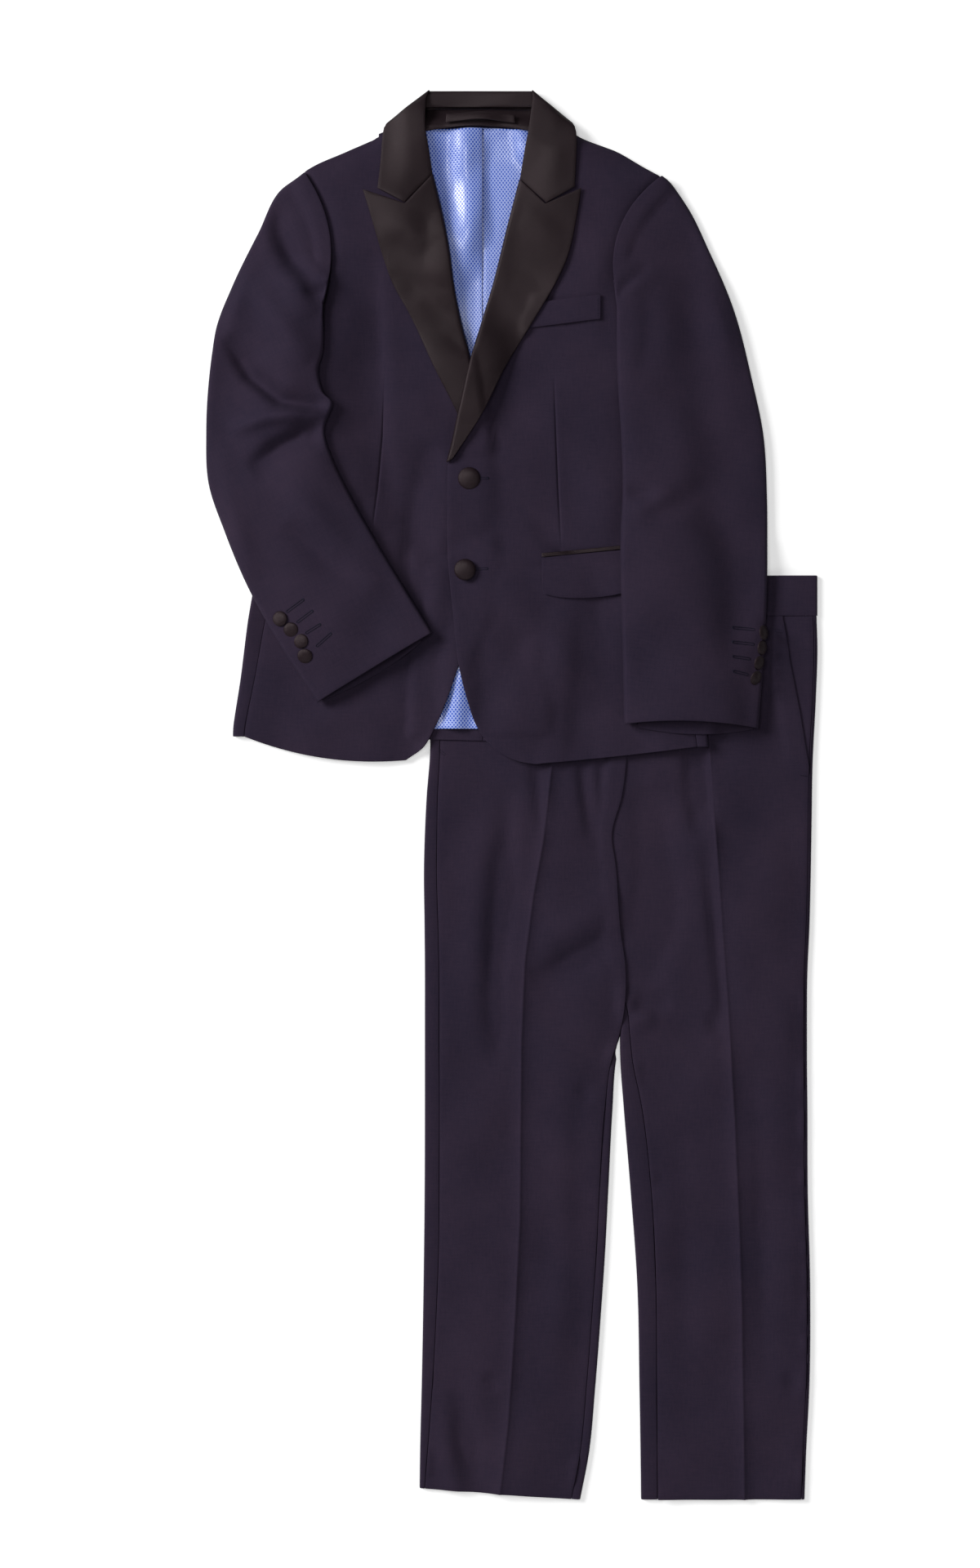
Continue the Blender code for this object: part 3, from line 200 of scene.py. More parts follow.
FRONT_LEFT = [
    Row(26, 632, 47, 615, 0, 0.5, 3.5, 3.0, 2.0),
    Row(24, 612, 60, 605, 0, 0.5, 4.5, 5.0, 2.0),
    Row(20, 590, 98, 589.5, 0, 0.5, 5.0, 7.5, 2.0),
    Row(14.5, 575, 122.6, 574.8, 0, 0.5, 5.3, 8.9, 2.9),
    Row(12, 569, 131, 570.2, 0, 0.5, 5.4, 9.3, 3.3),
    Row(10.2, 565, 135.6, 567.8, 0, 0.5, 5.5, 9.5, 3.6),
    Row(5, 543, 116.4, 550.8, 0, 0.5, 5.5, 10.0, 4.8),
    Row(0, 520, 98, 521, 0, 0.5, 5.5, 10.0, 5.2),
    Row(-6.5, 494, 91.4, 493, 0, 0.5, 5.5, 9.8, 5.2),
    Row(-10.4, 477, 91.4, 474, 0, 0.5, 5.5, 9.5, 5.2),
    Row(-18, 449, 98.6, 453, 0, 0.5, 5.5, 9.0, 5.2),
    Row(-28, 415, 101, 420, 0, 0.5, 5.5, 8.5, 5.2),
    Row(-38, 378, 106, 380, 0, 0.5, 5.0, 8.0, 5.2),
    Row(-47, 335, 113, 335, 0, 0.5, 4.5, 7.5, 5.2),
    Row(-53, 314, 115.5, 314, 0, 0.5, 4.0, 7.0, 5.2),
    Row(-58, 304, 117, 303, 0, 0.5, 4.0, 7.0, 5.2),
    Row(-58.8, 292, 118.5, 292, 0, 0.5, 4.0, 7.0, 5.2),
    Row(-59, 272, 121.5, 272, 0, 0.5, 4.0, 7.0, 5.2),
    Row(-59, 228, 128.5, 228, 0, 0.5, 4.0, 7.0, 5.2),
    Row(-53, 160, 143, 160, 0, 0.5, 4.5, 7.0, 5.2),
    Row(-48.5, 119, 152, 115, 0, 0.5, 4.5, 6.5, 5.2),
    Row(-41, 88.5, 160, 84, 0, 0.5, 4.5, 6.0, 5.2),
    Row(-32, 63, 165, 64, 0, 0.5, 4.0, 5.6, 5.2),
    Row(-19, 45, 168, 54, -1, 0.5, 4.0, 5.4, 5.2),
    Row(2.6, 32.3, 169, 48, -2, 0.5, 4.0, 5.2, 5.2),
    Row(20, 28.5, 169.5, 44.5, -1, 0.5, 4.0, 5.2, 5.2),
]

# Side bodies: at a height, how far the fold lies outside the front's seam on either side.
Side = namedtuple("Side", "y right left")
SIDE_FOLD = [
    Side(453, 22, 20), Side(390, 21, 19.5), Side(300, 19, 19), Side(230, 18, 18),
    Side(160, 15.5, 15), Side(105, 12.5, 12.5), Side(54, 10, 10.5), Side(44.5, 10, 10.2),
]
SIDE_UNDER = 58.0                     # width of a side body below the fold
ARMPIT_Y = 453.5
HEAD_RAMP = 26.0                      # height over which a sleeve comes down beside its armhole
HEAD_START = 0.6                      # where that begins above the armpit, as a share of that height
CENTRE_BACK = -26.5                   # seam between both backs
BACK_HEM_Y = 50.0                     # hem at the centre back
BACK_DROP_Y = 160.0                   # from here down the rows are shifted to that hem

LAPEL_RIGHT = [
    Row(-136.7, 554.7, -72.4, 568.8, -21, 0.534),
    Row(-128.6, 528, -66, 543, -6, 0.5),
    Row(-117.4, 490.5, -57, 497, -1, 0.5),
    Row(-109.1, 468, -53.4, 468),
    Row(-93.4, 439.5, -47.5, 438),
    Row(-71.6, 392.3, -37, 394),
    Row(-49.5, 348, -29, 348),
    Row(-38, 320, -23.5, 320),
]

LAPEL_LEFT = [
    Row(7.5, 564.4, 64, 556, -19, 0.463),
    Row(1.4, 541, 59.5, 528, -5, 0.5),
    Row(-4, 520, 55, 505.5, -2, 0.5),
    Row(-16.9, 468, 40, 468),
    Row(-28, 431, 17.6, 430.5),
    Row(-39, 393, -5, 393),
    Row(-48.9, 349.5, -27.4, 348),
    Row(-55.6, 319.5, -44.6, 321.5),
    Row(-59.4, 305, -54, 308),
]
LAPEL_UNDER = 3.0                     # width of the roll that returns below the lapel

# Collar: the a end of a row lies on the roll, the b end on the outer edge. Each leaf runs up to
# the line over which the collar folds to the underside; the fall joins both below the neck.
LEAF_RIGHT = [
    Row(-72.5, 568.7, -123, 555.5, 18.9, 0.606),
    Row(-75.6, 590, -120.5, 577, 4, 0.55),
    Row(-79, 612, -118.6, 602),
    Row(-78.6, 638.5, -117.2, 611.5),
]
FOLD_RIGHT = Row(-75.4, 646.2, -114.6, 615.6)
FALL = [
    Row(-71, 641.5, -109, 609.5),
    Row(-60, 641.2, -82, 604),
    Row(-28.5, 641.2, -28.5, 606),
    Row(3, 641.2, 25, 604),
    Row(14, 641.5, 50.5, 610),
]
FOLD_LEFT = Row(18.6, 646.2, 55.7, 615.6)
LEAF_LEFT = [
    Row(19.2, 638.5, 57.9, 611.8),
    Row(15.6, 612, 59.3, 603),
    Row(11.6, 590, 58.8, 579, -4, 0.5),
    Row(7.4, 564.3, 57.8, 557.2, -18.3, 0.529),
]

STAND = [Row(-83, 630.3, -75.2, 645.4), Row(24.5, 630.3, 18.4, 645.4)]
NECK_FACING = [
    Row(-88, 606, -84, 628),
    Row(-60, 611, -60, 630),
    Row(2, 611, 2, 630),
    Row(31, 606, 27, 628),
]
LINING_RIGHT = [
    Row(-97, 609.5, CENTRE_BACK - SEAM, 612, 0, 0.5, 0, 0.6, 1.2),
    Row(-92, 330, CENTRE_BACK - SEAM, 330, 0, 0.5, 0, 0.6, 1.2),
    Row(-88, 61, CENTRE_BACK - SEAM, 61, 0, 0.5, 0, 0.6, 1.2),
]
LINING_LEFT = [
    Row(CENTRE_BACK, 612, 42, 609.5),
    Row(CENTRE_BACK, 330, 38, 330),
    Row(CENTRE_BACK, 61, 36, 61),
]
HANGER_LOOP = [
    Row(-60.5, 615.4, -60, 623.6),
    Row(-50, 616.6, -50, 624.4, 0, 0.5, 0.4, 0.4, 0.4),
    Row(-28.5, 618.4, -28.5, 625.6, 0, 0.5, 2.0, 2.0, 2.0),
    Row(-7, 616.6, -7, 624.4, 0, 0.5, 0.4, 0.4, 0.4),
    Row(3.2, 615.4, 2.7, 623.6),
]

BREAST_WELT = [Row(15, 428, 26, 451.8), Row(81.4, 435.8, 81.4, 458.3)]
POCKET_JET = [Row(27.4, 217.9, 27.4, 221.6), Row(131, 228.4, 131, 232.2)]
POCKET_FLAP = [
    Row(27.6, 190, 27.4, 217.2),
    Row(29.2, 184.8, 32, 217.8),
    Row(34, 183, 40, 218.7),
    Row(121, 189, 122, 226.8),
    Row(129, 191.5, 130, 227.6),
    Row(131.5, 198, 131, 227.7),
]

# Row of a sleeve: the fold over the back of the arm, the fold at the body's side, the bow of the
# row, how far the middle stands above the folds and how much more the under sleeve is bowed.
Arm = namedtuple("Arm", "back_x back_y body_x body_y bow loft gape", defaults=(0,))

SLEEVE_RIGHT = [
    Arm(-189.6, 570.4, -171.5, 454.5, 14.2, 2.6),
    Arm(-194.6, 566.4, -172.8, 449, 13, 2.8),
    Arm(-209.4, 556.8, -173.0, 440, 9, 3.0),
    Arm(-232.1, 515.3, -172.4, 426, 4, 3.4),
    Arm(-256, 466, -173, 405, 0, 3.6),
    Arm(-270.4, 428.3, -177.0, 385, 0, 3.6),
    Arm(-274.4, 404, -172.6, 368, 0, 4.2),
    Arm(-277.2, 380, -164.2, 359, 0, 4.4),
    Arm(-279, 356, -167.6, 347.5, 0, 3.8),
    Arm(-279.6, 333, -171.5, 336, 0, 3.0),
    Arm(-277.4, 286, -164.5, 308, 0, 3.6),
    Arm(-263, 243, -147, 272, 0, 3.6),
    Arm(-241.1, 191.3, -122, 228, 0, 3.4),
    Arm(-210.4, 136.5, -97.1, 187, 0, 3.2),
    Arm(-177.4, 85.5, -73.3, 148.5, 0.5, 3.0, -6.5),
]

SLEEVE_LEFT = [
    Arm(137.2, 567.4, 95.2, 458, -18.6, 2.6),
    Arm(142.6, 563.4, 96, 450, -16, 2.8),
    Arm(159.4, 541.5, 96.4, 440, -9, 3.0),
    Arm(181.1, 498, 96.4, 424, -3, 3.4),
    Arm(203, 445.5, 96.6, 400, 0, 3.6),
    Arm(220, 380.3, 98.2, 366, 0, 3.6),
    Arm(230, 332.3, 100.3, 334, 0, 3.6),
    Arm(233.6, 271.5, 102, 280.5, 0, 3.8),
    Arm(233.6, 215, 99.6, 228, 0, 3.4),
    Arm(232.4, 170, 100.4, 178, 0, 3.2),
    Arm(229.2, 115, 102, 120, 0, 3.0),
    Arm(225, 61.5, 103.1, 65.3, -4.5, 3.4, 12),
]
SLEEVE_SEAMS = (-4.0, -12.0)          # both seams lie underneath, this far in from the folds

WAISTBAND = (165.0, 201.8)            # lower and upper edge
WAISTBAND_ENDS = (-76.2, 279.9)       # folds at its right and at its left end
WAISTBAND_SEAMS = (8.0, -10.0)        # one on top at the right end, one underneath at the left
WAISTBAND_LOFT = 2.1

# ---------------------------------------------------------------- folds and seams

# Fold of a top layer: a ridge (rise above 0) or a trough along a route, with its own width to the
# right and to the left of the route. It fades at both ends unless fade is 0.
Fold = namedtuple("Fold", "rise right left route fade", defaults=(1,))

# Pressed crease: its ridges as shares of the rise with their half widths, the columns beside it and
# how far the other columns keep away from those.
CREASE_RIDGES = ((0.7, 5.5), (0.35, 1.3))
CREASE_COLUMNS = (-5.5, -3.6, -2.2, -1.2, -0.5, 0, 0.5, 1.2, 2.2, 3.6, 5.5)
CREASE_CLEAR = 3.5
CREASES = {
    "right": [(48, 170), (40, 60), (28.9, -39.8), (19.5, -92), (11.6, -153), (8.6, -226),
              (7.1, -390), (2.6, -481), (-3.4, -573), (-12.2, -650)],
    "left": [(178, 170), (181, 45), (184, 0), (188.6, -61), (197.6, -184), (204, -298),
             (208.5, -400), (210.6, -470), (213.2, -650)],
}
LEG_FOLDS = [
    Fold(-6.9, 12, 8, [(-2, 10), (-6.4, -85), (-13.4, -162), (-12.4, -250)]),
    Fold(3.2, 14, 16, [(-24, -20), (-31, -110), (-34, -230)]),
    Fold(-6.2, 10, 18, [(104, -122), (66, -146), (18, -170)]),
    Fold(2.9, 14, 12, [(98, -96), (60, -118), (24, -138)]),
    Fold(-3.6, 4, 6, [(21, 45), (23, 10), (27, -34)]),
    Fold(-4.0, 5, 7, [(62, 50), (66, 5), (73, -40)]),
    Fold(-2.9, 4, 5, [(80, 40), (84, 5), (88, -24)]),
    Fold(-5.5, 6, 14, [(161, 48), (166, 4), (170, -40)]),
    Fold(-4.0, 5, 6, [(175, 45), (178, 5), (184, -28)]),
    Fold(-7.3, 16, 20, [(124, 10), (131, -78), (124, -150), (112, -196)]),
    Fold(-5.9, 8, 8, [(98, -182), (120, -190), (146, -188)]),
    Fold(3.2, 9, 9, [(108, -206), (132, -204)]),
    Fold(-4.7, 5, 12, [(176, -40), (185, -110), (192, -180), (194, -240)]),
    Fold(-3.2, 5, 6, [(183, -196), (187, -222)]),
    Fold(-2.6, 9, 12, [(222, -240), (229, -380), (232, -560)]),
    Fold(1.8, 20, 20, [(240, -30), (246, -140), (244, -300)]),
    Fold(-4.6, 14, 12, [(-52, -526), (-42, -588), (-24, -660)]),
    Fold(3.6, 10, 10, [(-64, -540), (-58, -600), (-46, -670)]),
    Fold(-2.6, 6, 6, [(-24, -530), (-12, -545)]),
    Fold(-2.2, 6, 6, [(60, -264), (74, -280)]),
    Fold(-2.2, 7, 6, [(252, -528), (262, -548)]),
    Fold(2.2, 14, 12, [(46, -230), (48, -420), (38, -560)]),
    Fold(-1.8, 12, 14, [(154, -280), (158, -430), (160, -600)]),
    Fold(-0.35, 1.6, 1.2, [(-90, -590.5), (90, -594), (280, -594)], 0),
]
SLEEVE_FOLDS = [
    Fold(-7.0, 10, 9, [(-219, 544), (-211, 513), (-200, 487), (-183, 468), (-170, 455)]),
    Fold(4.0, 14, 9, [(-234, 530), (-218, 496), (-198, 466), (-184, 436)]),
    Fold(-2.6, 5, 5, [(-190, 460), (-180, 458), (-168, 462)]),
    Fold(-13.0, 6, 12, [(-262, 420), (-240, 384), (-212, 361), (-186, 355), (-158, 357)]),
    Fold(8.4, 7, 7, [(-258, 334), (-224, 345), (-192, 348), (-170, 348)]),
    Fold(-11.5, 7, 14, [(-156, 336), (-190, 331), (-215, 319), (-240, 298)]),
    Fold(4.5, 16, 14, [(-264, 330), (-262, 262), (-238, 196)]),
    Fold(5.0, 10, 12, [(-236, 470), (-212, 430), (-184, 396)]),
    Fold(4.0, 18, 18, [(-250, 496), (-256, 440), (-240, 404)]),
    Fold(3.0, 14, 10, [(-226, 292), (-186, 262), (-150, 228)]),
    Fold(-4.2, 12, 10, [(-204, 250), (-168, 214), (-132, 190)]),
    Fold(3.4, 8, 9, [(94, 262), (116, 262), (150, 278)]),
    Fold(-3.8, 5, 5, [(90, 284), (108, 279), (132, 272)]),
    Fold(-2.0, 10, 10, [(120, 246), (150, 262), (180, 290)]),
    Fold(-3.0, 5, 6, [(92, 452), (104, 466), (126, 484)]),
    Fold(-3.0, 10, 14, [(122, 470), (126, 420), (114, 372)]),
    Fold(3.3, 16, 18, [(172, 500), (196, 420), (204, 330)]),
    Fold(-2.8, 14, 14, [(196, 250), (204, 180), (196, 110)]),
]
RIGHT_BODY_FOLDS = [
    Fold(6.6, 7, 38, [(-190, 596), (-176, 556), (-168, 524), (-162, 490), (-164, 440), (-172, 390)]),
    Fold(8.6, 8, 32, [(-164, 490), (-174, 430), (-178, 376), (-172, 330), (-152, 280), (-128, 236)]),
    Fold(6.0, 8, 24, [(-146, 262), (-112, 208), (-80, 160), (-74, 146)]),
    Fold(-5.6, 24, 9, [(-128, 500), (-124, 420), (-121, 340), (-112, 262)]),
    Fold(-6.1, 9, 14, [(-74, 326), (-84, 268), (-90, 220), (-90, 140)]),
    Fold(3.0, 14, 10, [(-62, 320), (-64, 240), (-68, 130)]),
    Fold(2.6, 18, 20, [(-118, 440), (-128, 330), (-150, 220)]),
    Fold(-2.1, 10, 10, [(-58, 206), (-92, 180), (-126, 166)]),
    Fold(-1.8, 12, 12, [(-120, 120), (-150, 90), (-196, 80)]),
]
LEFT_BODY_FOLDS = [
    Fold(6.0, 26, 8, [(136, 586), (118, 548), (100, 510), (94, 470), (96, 420), (104, 360)]),
    Fold(-1.8, 14, 8, [(86, 480), (90, 420), (96, 370)]),
    Fold(2.1, 18, 18, [(60, 350), (84, 280), (92, 180)]),
    Fold(-1.8, 10, 12, [(-36, 270), (4, 246), (46, 240)]),
    Fold(-2.1, 9, 9, [(-34, 190), (-4, 150), (40, 128)]),
    Fold(1.5, 14, 14, [(-10, 200), (30, 150), (80, 96)]),
    Fold(-2.7, 12, 16, [(84, 200), (88, 140), (98, 80)]),
]
LINING_FOLDS = [
    Fold(8.6, 11, 14, [(-34, 642), (-41, 606), (-43, 574), (-38, 540), (-31, 500)]),
    Fold(4.5, 10, 12, [(-86, 644), (-79, 600), (-73, 556)]),
    Fold(4.5, 7, 10, [(4, 620), (11, 600), (16, 576)]),
    Fold(2.6, 9, 9, [(-74, 570), (-64, 510), (-52, 460)]),
    Fold(-1.9, 10, 9, [(-10, 560), (-12, 500), (-20, 440)]),
    Fold(8.0, 12, 10, [(-46, 140), (-50, 90), (-54, 10)]),
]
BACK_FOLDS = [
    Fold(1.5, 16, 12, [(-150, 470), (-120, 360), (-124, 220)]),
    Fold(-1.4, 14, 14, [(-70, 420), (-84, 280), (-76, 120)]),
    Fold(-1.4, 14, 16, [(36, 470), (26, 330), (40, 160)]),
    Fold(1.4, 16, 12, [(78, 420), (88, 260), (96, 120)]),
]
LAPEL_FOLDS = [
    Fold(2.1, 12, 16, [(-124, 520), (-96, 520), (-76, 500)]),
    Fold(-1.4, 10, 12, [(-112, 470), (-80, 462), (-56, 430)]),
    Fold(1.8, 14, 12, [(8, 530), (30, 520), (50, 500)]),
    Fold(-1.5, 12, 12, [(-6, 470), (18, 464), (34, 452)]),
    Fold(1.4, 12, 12, [(-104, 600), (-98, 560)]),
    Fold(1.4, 12, 12, [(40, 600), (36, 560)]),
]
# A dart is a seam that takes cloth in: a narrow trough with soft shoulders.
DART_RIGHT = [(-116.5, 386), (-118.4, 330), (-123, 280), (-128.8, 232)]
DART_LEFT = [(38.8, 384), (40.6, 330), (42.6, 280), (45.6, 226)]
DART_DEPTH, DART_HALF = 1.5, 0.9
SHOULDER_RISE, SHOULDER_HALF = 0.35, 7
DART_COLUMNS = (-2.4, -1.4, -0.7, 0, 0.7, 1.4, 2.4)   # across the dart
DART_CLEAR = 3                        # distance of the next columns from those

# A front and a back are sewn into an armhole between the second and the third of these heights, and
# less and less towards the others: each runs on below the sleeve by its own seam allowance, and the
# front lies close to the back.
ARMHOLE_SEWN_Y = (438, 460, 540, 562)
ARMHOLE_TURN, ARMHOLE_SEAM = 4.0, 12.0                # allowance of a front and of a back
ARMHOLE_RISE = 2.6                    # height of the front's edge there

# Wave of laid cloth: direction of travel in degrees, length, height and phase.
Wave = namedtuple("Wave", "heading length rise shift")
WAVES = [
    Wave(12, 148, 1.0, 0.4), Wave(71, 117, 0.8, 2.1), Wave(128, 91, 0.6, 4.0),
    Wave(163, 63, 0.45, 1.3), Wave(38, 44, 0.26, 5.2), Wave(97, 31, 0.12, 3.1),
]

# ---------------------------------------------------------------- small parts

# Button: where it lies, its radius, and how far it leans towards a compass heading in degrees.
Button = namedtuple("Button", "name x y radius lean heading")
FRONT_BUTTONS = [
    Button("front_button_upper", -39, 290.3, 10.2, 0, 0),
    Button("front_button_lower", -42.8, 206.3, 9.8, 0, 0),
]
CUFF_BUTTONS = [
    Button("cuff_button_right_1", -211.6, 161.4, 6.9, 16, 175),
    Button("cuff_button_right_2", -201.6, 151.4, 6.9, 14, 230),
    Button("cuff_button_right_3", -192.4, 141.0, 6.9, 15, 185),
    Button("cuff_button_right_4", -188.8, 127.4, 6.9, 18, 250),
    Button("cuff_button_left_1", 229.4, 148.6, 6.8, 52, 5),
    Button("cuff_button_left_2", 228.0, 134.8, 6.8, 50, -8),
    Button("cuff_button_left_3", 225.2, 121.0, 6.8, 48, -18),
    Button("cuff_button_left_4", 222.2, 107.4, 6.8, 46, -28),
]
BUTTON_HEIGHT = 0.42                  # of a button's radius
# Painted light: the covered buttons are the same satin as the lapels, painted paler to stand in for the
# gloss on their domes.
BUTTON_PAINTED_GLOSS = 1.2                     # the buttons' satin is painted paler by this factor: painted highlight for the gloss that their domes catch

# Shape of a button from its back to its top, as shares of its radius and of its height; the cloth
# is gathered into pleats at the rim and sinks in a groove round the dome.
BUTTON_BACK = 0.9
BUTTON_PROFILE = ((1.0, 0.12), (1.02, 0.22), (0.97, 0.42), (0.85, 0.66), (0.64, 0.85), (0.36, 0.96),
                  (0.12, 1.0))
PLEATS, PLEAT_DEPTH, PLEAT_AT, PLEAT_HALF = 18, 0.012, 0.98, 0.16
GROOVE_DEPTH, GROOVE_AT, GROOVE_HALF = 0.12 * MM, 0.78, 0.09

# Buttonhole: its two ends.
Hole = namedtuple("Hole", "name ax ay bx by")
BUTTONHOLES = [
    Hole("buttonhole_upper", -36, 290, -21, 290.6),
    Hole("buttonhole_lower", -36, 206.6, -21.5, 207.4),
    Hole("cuff_hole_right_1", -204.8, 168.0, -190.0, 178.8),
    Hole("cuff_hole_right_2", -195.4, 158.4, -181.6, 168.6),
    Hole("cuff_hole_right_3", -187.4, 148.4, -174.2, 156.4),
    Hole("cuff_hole_right_4", -177.6, 136.6, -164.6, 148.0),
    Hole("cuff_hole_left_1", 221.0, 151.6, 201.8, 153.4),
    Hole("cuff_hole_left_2", 220.4, 138.2, 201.6, 140.2),
    Hole("cuff_hole_left_3", 216.6, 124.8, 201.4, 127.0),
    Hole("cuff_hole_left_4", 214.6, 110.6, 201.4, 113.6),
]

HOLE_RING, HOLE_SLOT = 1.0, 8         # radius of the pattern's ends and the distance between them
HOLE_LIFT, STITCH_LIFT = 0.12, 0.1    # how far the thread stands above the cloth

# Row of stitches: its route, the length of a stitch and the gap after it.
Stitches = namedtuple("Stitches", "name length gap route")
STITCHES = [
    Stitches("stand_stitches", 2.0, 0.9, [(-20, 633.4), (0, 632.8), (19.4, 632.2)]),
    Stitches("stand_stitches_low", 2.0, 0.9, [(-70, 629.0), (-30, 628.6), (18.6, 628.0)]),
    Stitches("loop_tack_right", 1.5, 0.3, [(-59.4, 617.2), (-59.0, 622.4)]),
    Stitches("loop_tack_left", 1.5, 0.3, [(1.8, 622.4), (2.2, 617.2)]),
    Stitches("pocket_tack_low", 1.6, 0.3, [(264.4, 18.6), (271.8, 17.2)]),
    Stitches("pocket_tack_top", 1.6, 0.3, [(240.6, 152.6), (247.4, 151.6)]),
    Stitches("pocket_tack_top_low", 1.6, 0.3, [(241.4, 150.0), (248.0, 149.0)]),
    Stitches("right_pocket_tack", 1.6, 0.3, [(-67.6, 43.4), (-60.8, 38.2)]),
    Stitches("right_pocket_tack_low", 1.6, 0.3, [(-67.2, 40.8), (-61.4, 36.6)]),
    Stitches("welt_stitches", 1.5, 0.8, [(78.8, 438.0), (78.8, 456.4)]),
    Stitches("fly_tack", 1.5, 0.3, [(96.6, -35.0), (101.4, -37.4)]),
]

# ---------------------------------------------------------------- stage tables

# Area light: where it stands, the point that it faces and its size, all in metres.
LIGHTS = {
    "key": ((-4.8, 2.4, 3.6), (0, -0.1, 0), 2.6),
    "fill": ((1.2, -2.5, 1.9), (0.1, -0.4, 0), 1.6),
    "top": ((-0.55, 0.4, 3.1), (0, 0, 0), 0.7),
}
FLOOR_SIZE, FLOOR_DROP = 14, 0.0002   # side of the floor and its distance below the cloth
WHITE = (1, 1, 1)
SEEN_STRENGTH = 0.93                  # of the room behind the floor
VIEW_CENTRE = (-0.0199, 0.0105)       # point of the floor in the middle of the view


# ---------------------------------------------------------------- settings

def tint(name, description, default):
    """Colour in the panel."""
    return FloatVectorProperty(name=name, description=description, default=default,
                               subtype="COLOR", size=3, min=0, max=1)


def power(name, description, default):
    """Power of a light in the panel."""
    return FloatProperty(name=name, description=description, default=default, min=0, unit="POWER")


class TuxedoCloth(bpy.types.PropertyGroup):
    """Sizes of the cloth."""

    wall: FloatProperty(
        name="Cloth thickness", description="Thickness of each piece of cloth",
        default=WALL * MM, min=0.0005, max=0.003, precision=4, unit="LENGTH")
    crease: FloatProperty(
        name="Crease height", description="Height of the pressed crease of a leg",
        default=CREASE_RISE * MM, min=0, max=0.004, precision=4, unit="LENGTH")
    folds: FloatProperty(
        name="Depth of folds", description="Factor on the rise of every fold",
        default=1.0, min=0, max=1.5, subtype="FACTOR")
    waves: FloatProperty(
        name="Unevenness", description="Factor on the low waves of the laid cloth",
        default=1.0, min=0, max=2, subtype="FACTOR")


class TuxedoColours(bpy.types.PropertyGroup):
    """Colours of the cloths."""

    wool: tint("Wool", "Ground colour of the suit cloth", (0.0187, 0.0156, 0.0310))
    wool_thread: tint("Wool thread", "Lighter threads of the suit cloth", (0.0443, 0.0295, 0.0500))
    satin: tint("Satin", "Lapels, collar, jetting and buttons", (0.0135, 0.0080, 0.0102))
    lining: tint("Lining", "Ground colour of the lining", (0.0, 0.072, 0.58))
    lining_net: tint("Lining net", "Pale threads of the lining's lattice", (0.44, 0.54, 0.98))


class TuxedoStage(bpy.types.PropertyGroup):
    """Floor, lights and camera."""

    floor: tint("Floor", "Colour of the floor", (0.88, 0.88, 0.88))
    key: power("Key light", "Power of the light at the upper left", 352.0)
    fill: power("Fill light", "Power of the light beside the trousers", 23.0)
    top: power("Top light", "Power of the small light near the camera that draws the gloss", 16.0)
    sky: FloatProperty(
        name="Room light", description="Strength of the even light from all round",
        default=0.06, min=0)
    glow: FloatProperty(
        name="Floor glow", description="Brightness that the camera sees on the floor besides its light",
        default=0.5, min=0)
    height: FloatProperty(
        name="Camera height", description="Height of the camera above the floor",
        default=3.5, min=1, unit="LENGTH")
    view: FloatProperty(
        name="View length", description="Length of floor in the long side of the picture",
        default=1.44, min=0.5, unit="LENGTH")


def cloth_settings():
    return bpy.context.scene.tuxedo_cloth


def colours():
    return bpy.context.scene.tuxedo_colours


# ---------------------------------------------------------------- rows and columns

def spread(rows):
    """Rows of a table with smooth rows between them, about a step apart."""
    table = np.array(rows, dtype=float)
    if len(table) == 2:
        table = np.array([table[0], table.mean(axis=0), table[1]])
    moves = np.diff(table[:, 0:4], axis=0)
    lengths = np.maximum(np.hypot(moves[:, 0], moves[:, 1]), np.hypot(moves[:, 2], moves[:, 3]))
    at = np.concatenate([[0.0], np.cumsum(lengths)])
    slope = np.gradient(table, at, axis=0)
    dense = []
    for i, length in enumerate(lengths):
        count = max(1, ceil(length / STEP))
        for t in np.arange(count) / count:
            start = (1 + 2 * t) * (1 - t) ** 2 * table[i] + t * t * (3 - 2 * t) * table[i + 1]
            bend = t * (1 - t) ** 2 * slope[i] - t * t * (1 - t) * slope[i + 1]
            dense.append(start + bend * length)
    dense.append(table[-1])
    return np.array(dense)


def place(ends, along, bow=None, corner=None):
    """Plan points at distances along each row, from its a end, bowed to the row's left.

    A row whose corner lies in the middle is bowed smoothly; others are bent at the corner.
    """
    a, b = ends[:, None, 0:2], ends[:, None, 2:4]
    length = np.linalg.norm(b - a, axis=2, keepdims=True)
    course = (b - a) / length
    points = a + course * along[:, :, None]
    if bow is not None:
        share = along / length[:, :, 0]
        shape = 4 * share * (1 - share)
        if corner is not None:
            corner = corner[:, None]
            bent = np.minimum(share / corner, (1 - share) / (1 - corner))
            shape += (bent - shape) * np.clip(np.abs(corner - 0.5) / CORNER_FROM, 0, 1)
        across = np.stack([-course[:, :, 1], course[:, :, 0]], axis=2)
        points = points + across * (bow[:, None] * shape)[:, :, None]
    return points


def width_of(ends):
    return np.hypot(ends[:, 2] - ends[:, 0], ends[:, 3] - ends[:, 1])


def turn(fold):
    """Distances from a fold's edge and levels, from the top layer round to the lower one."""
    angles = np.radians(np.linspace(90, -90, TURN_POINTS))
    return [(fold * (1 - cos(angle)), (1 + sin(angle)) / 2) for angle in angles]


def lead(seam, fold, upper):
    """Columns from a seam to the flat part of one side: (distances from the edge, levels)."""
    on_top = seam.mean() > 0
    gap = SEAM / 2 if upper == on_top else -SEAM / 2
    first = [(np.abs(seam) + gap, 1.0 if on_top else 0.0)]
    if upper == on_top:
        return first
    bend = turn(fold)
    return first + (bend[::-1] if upper else bend)


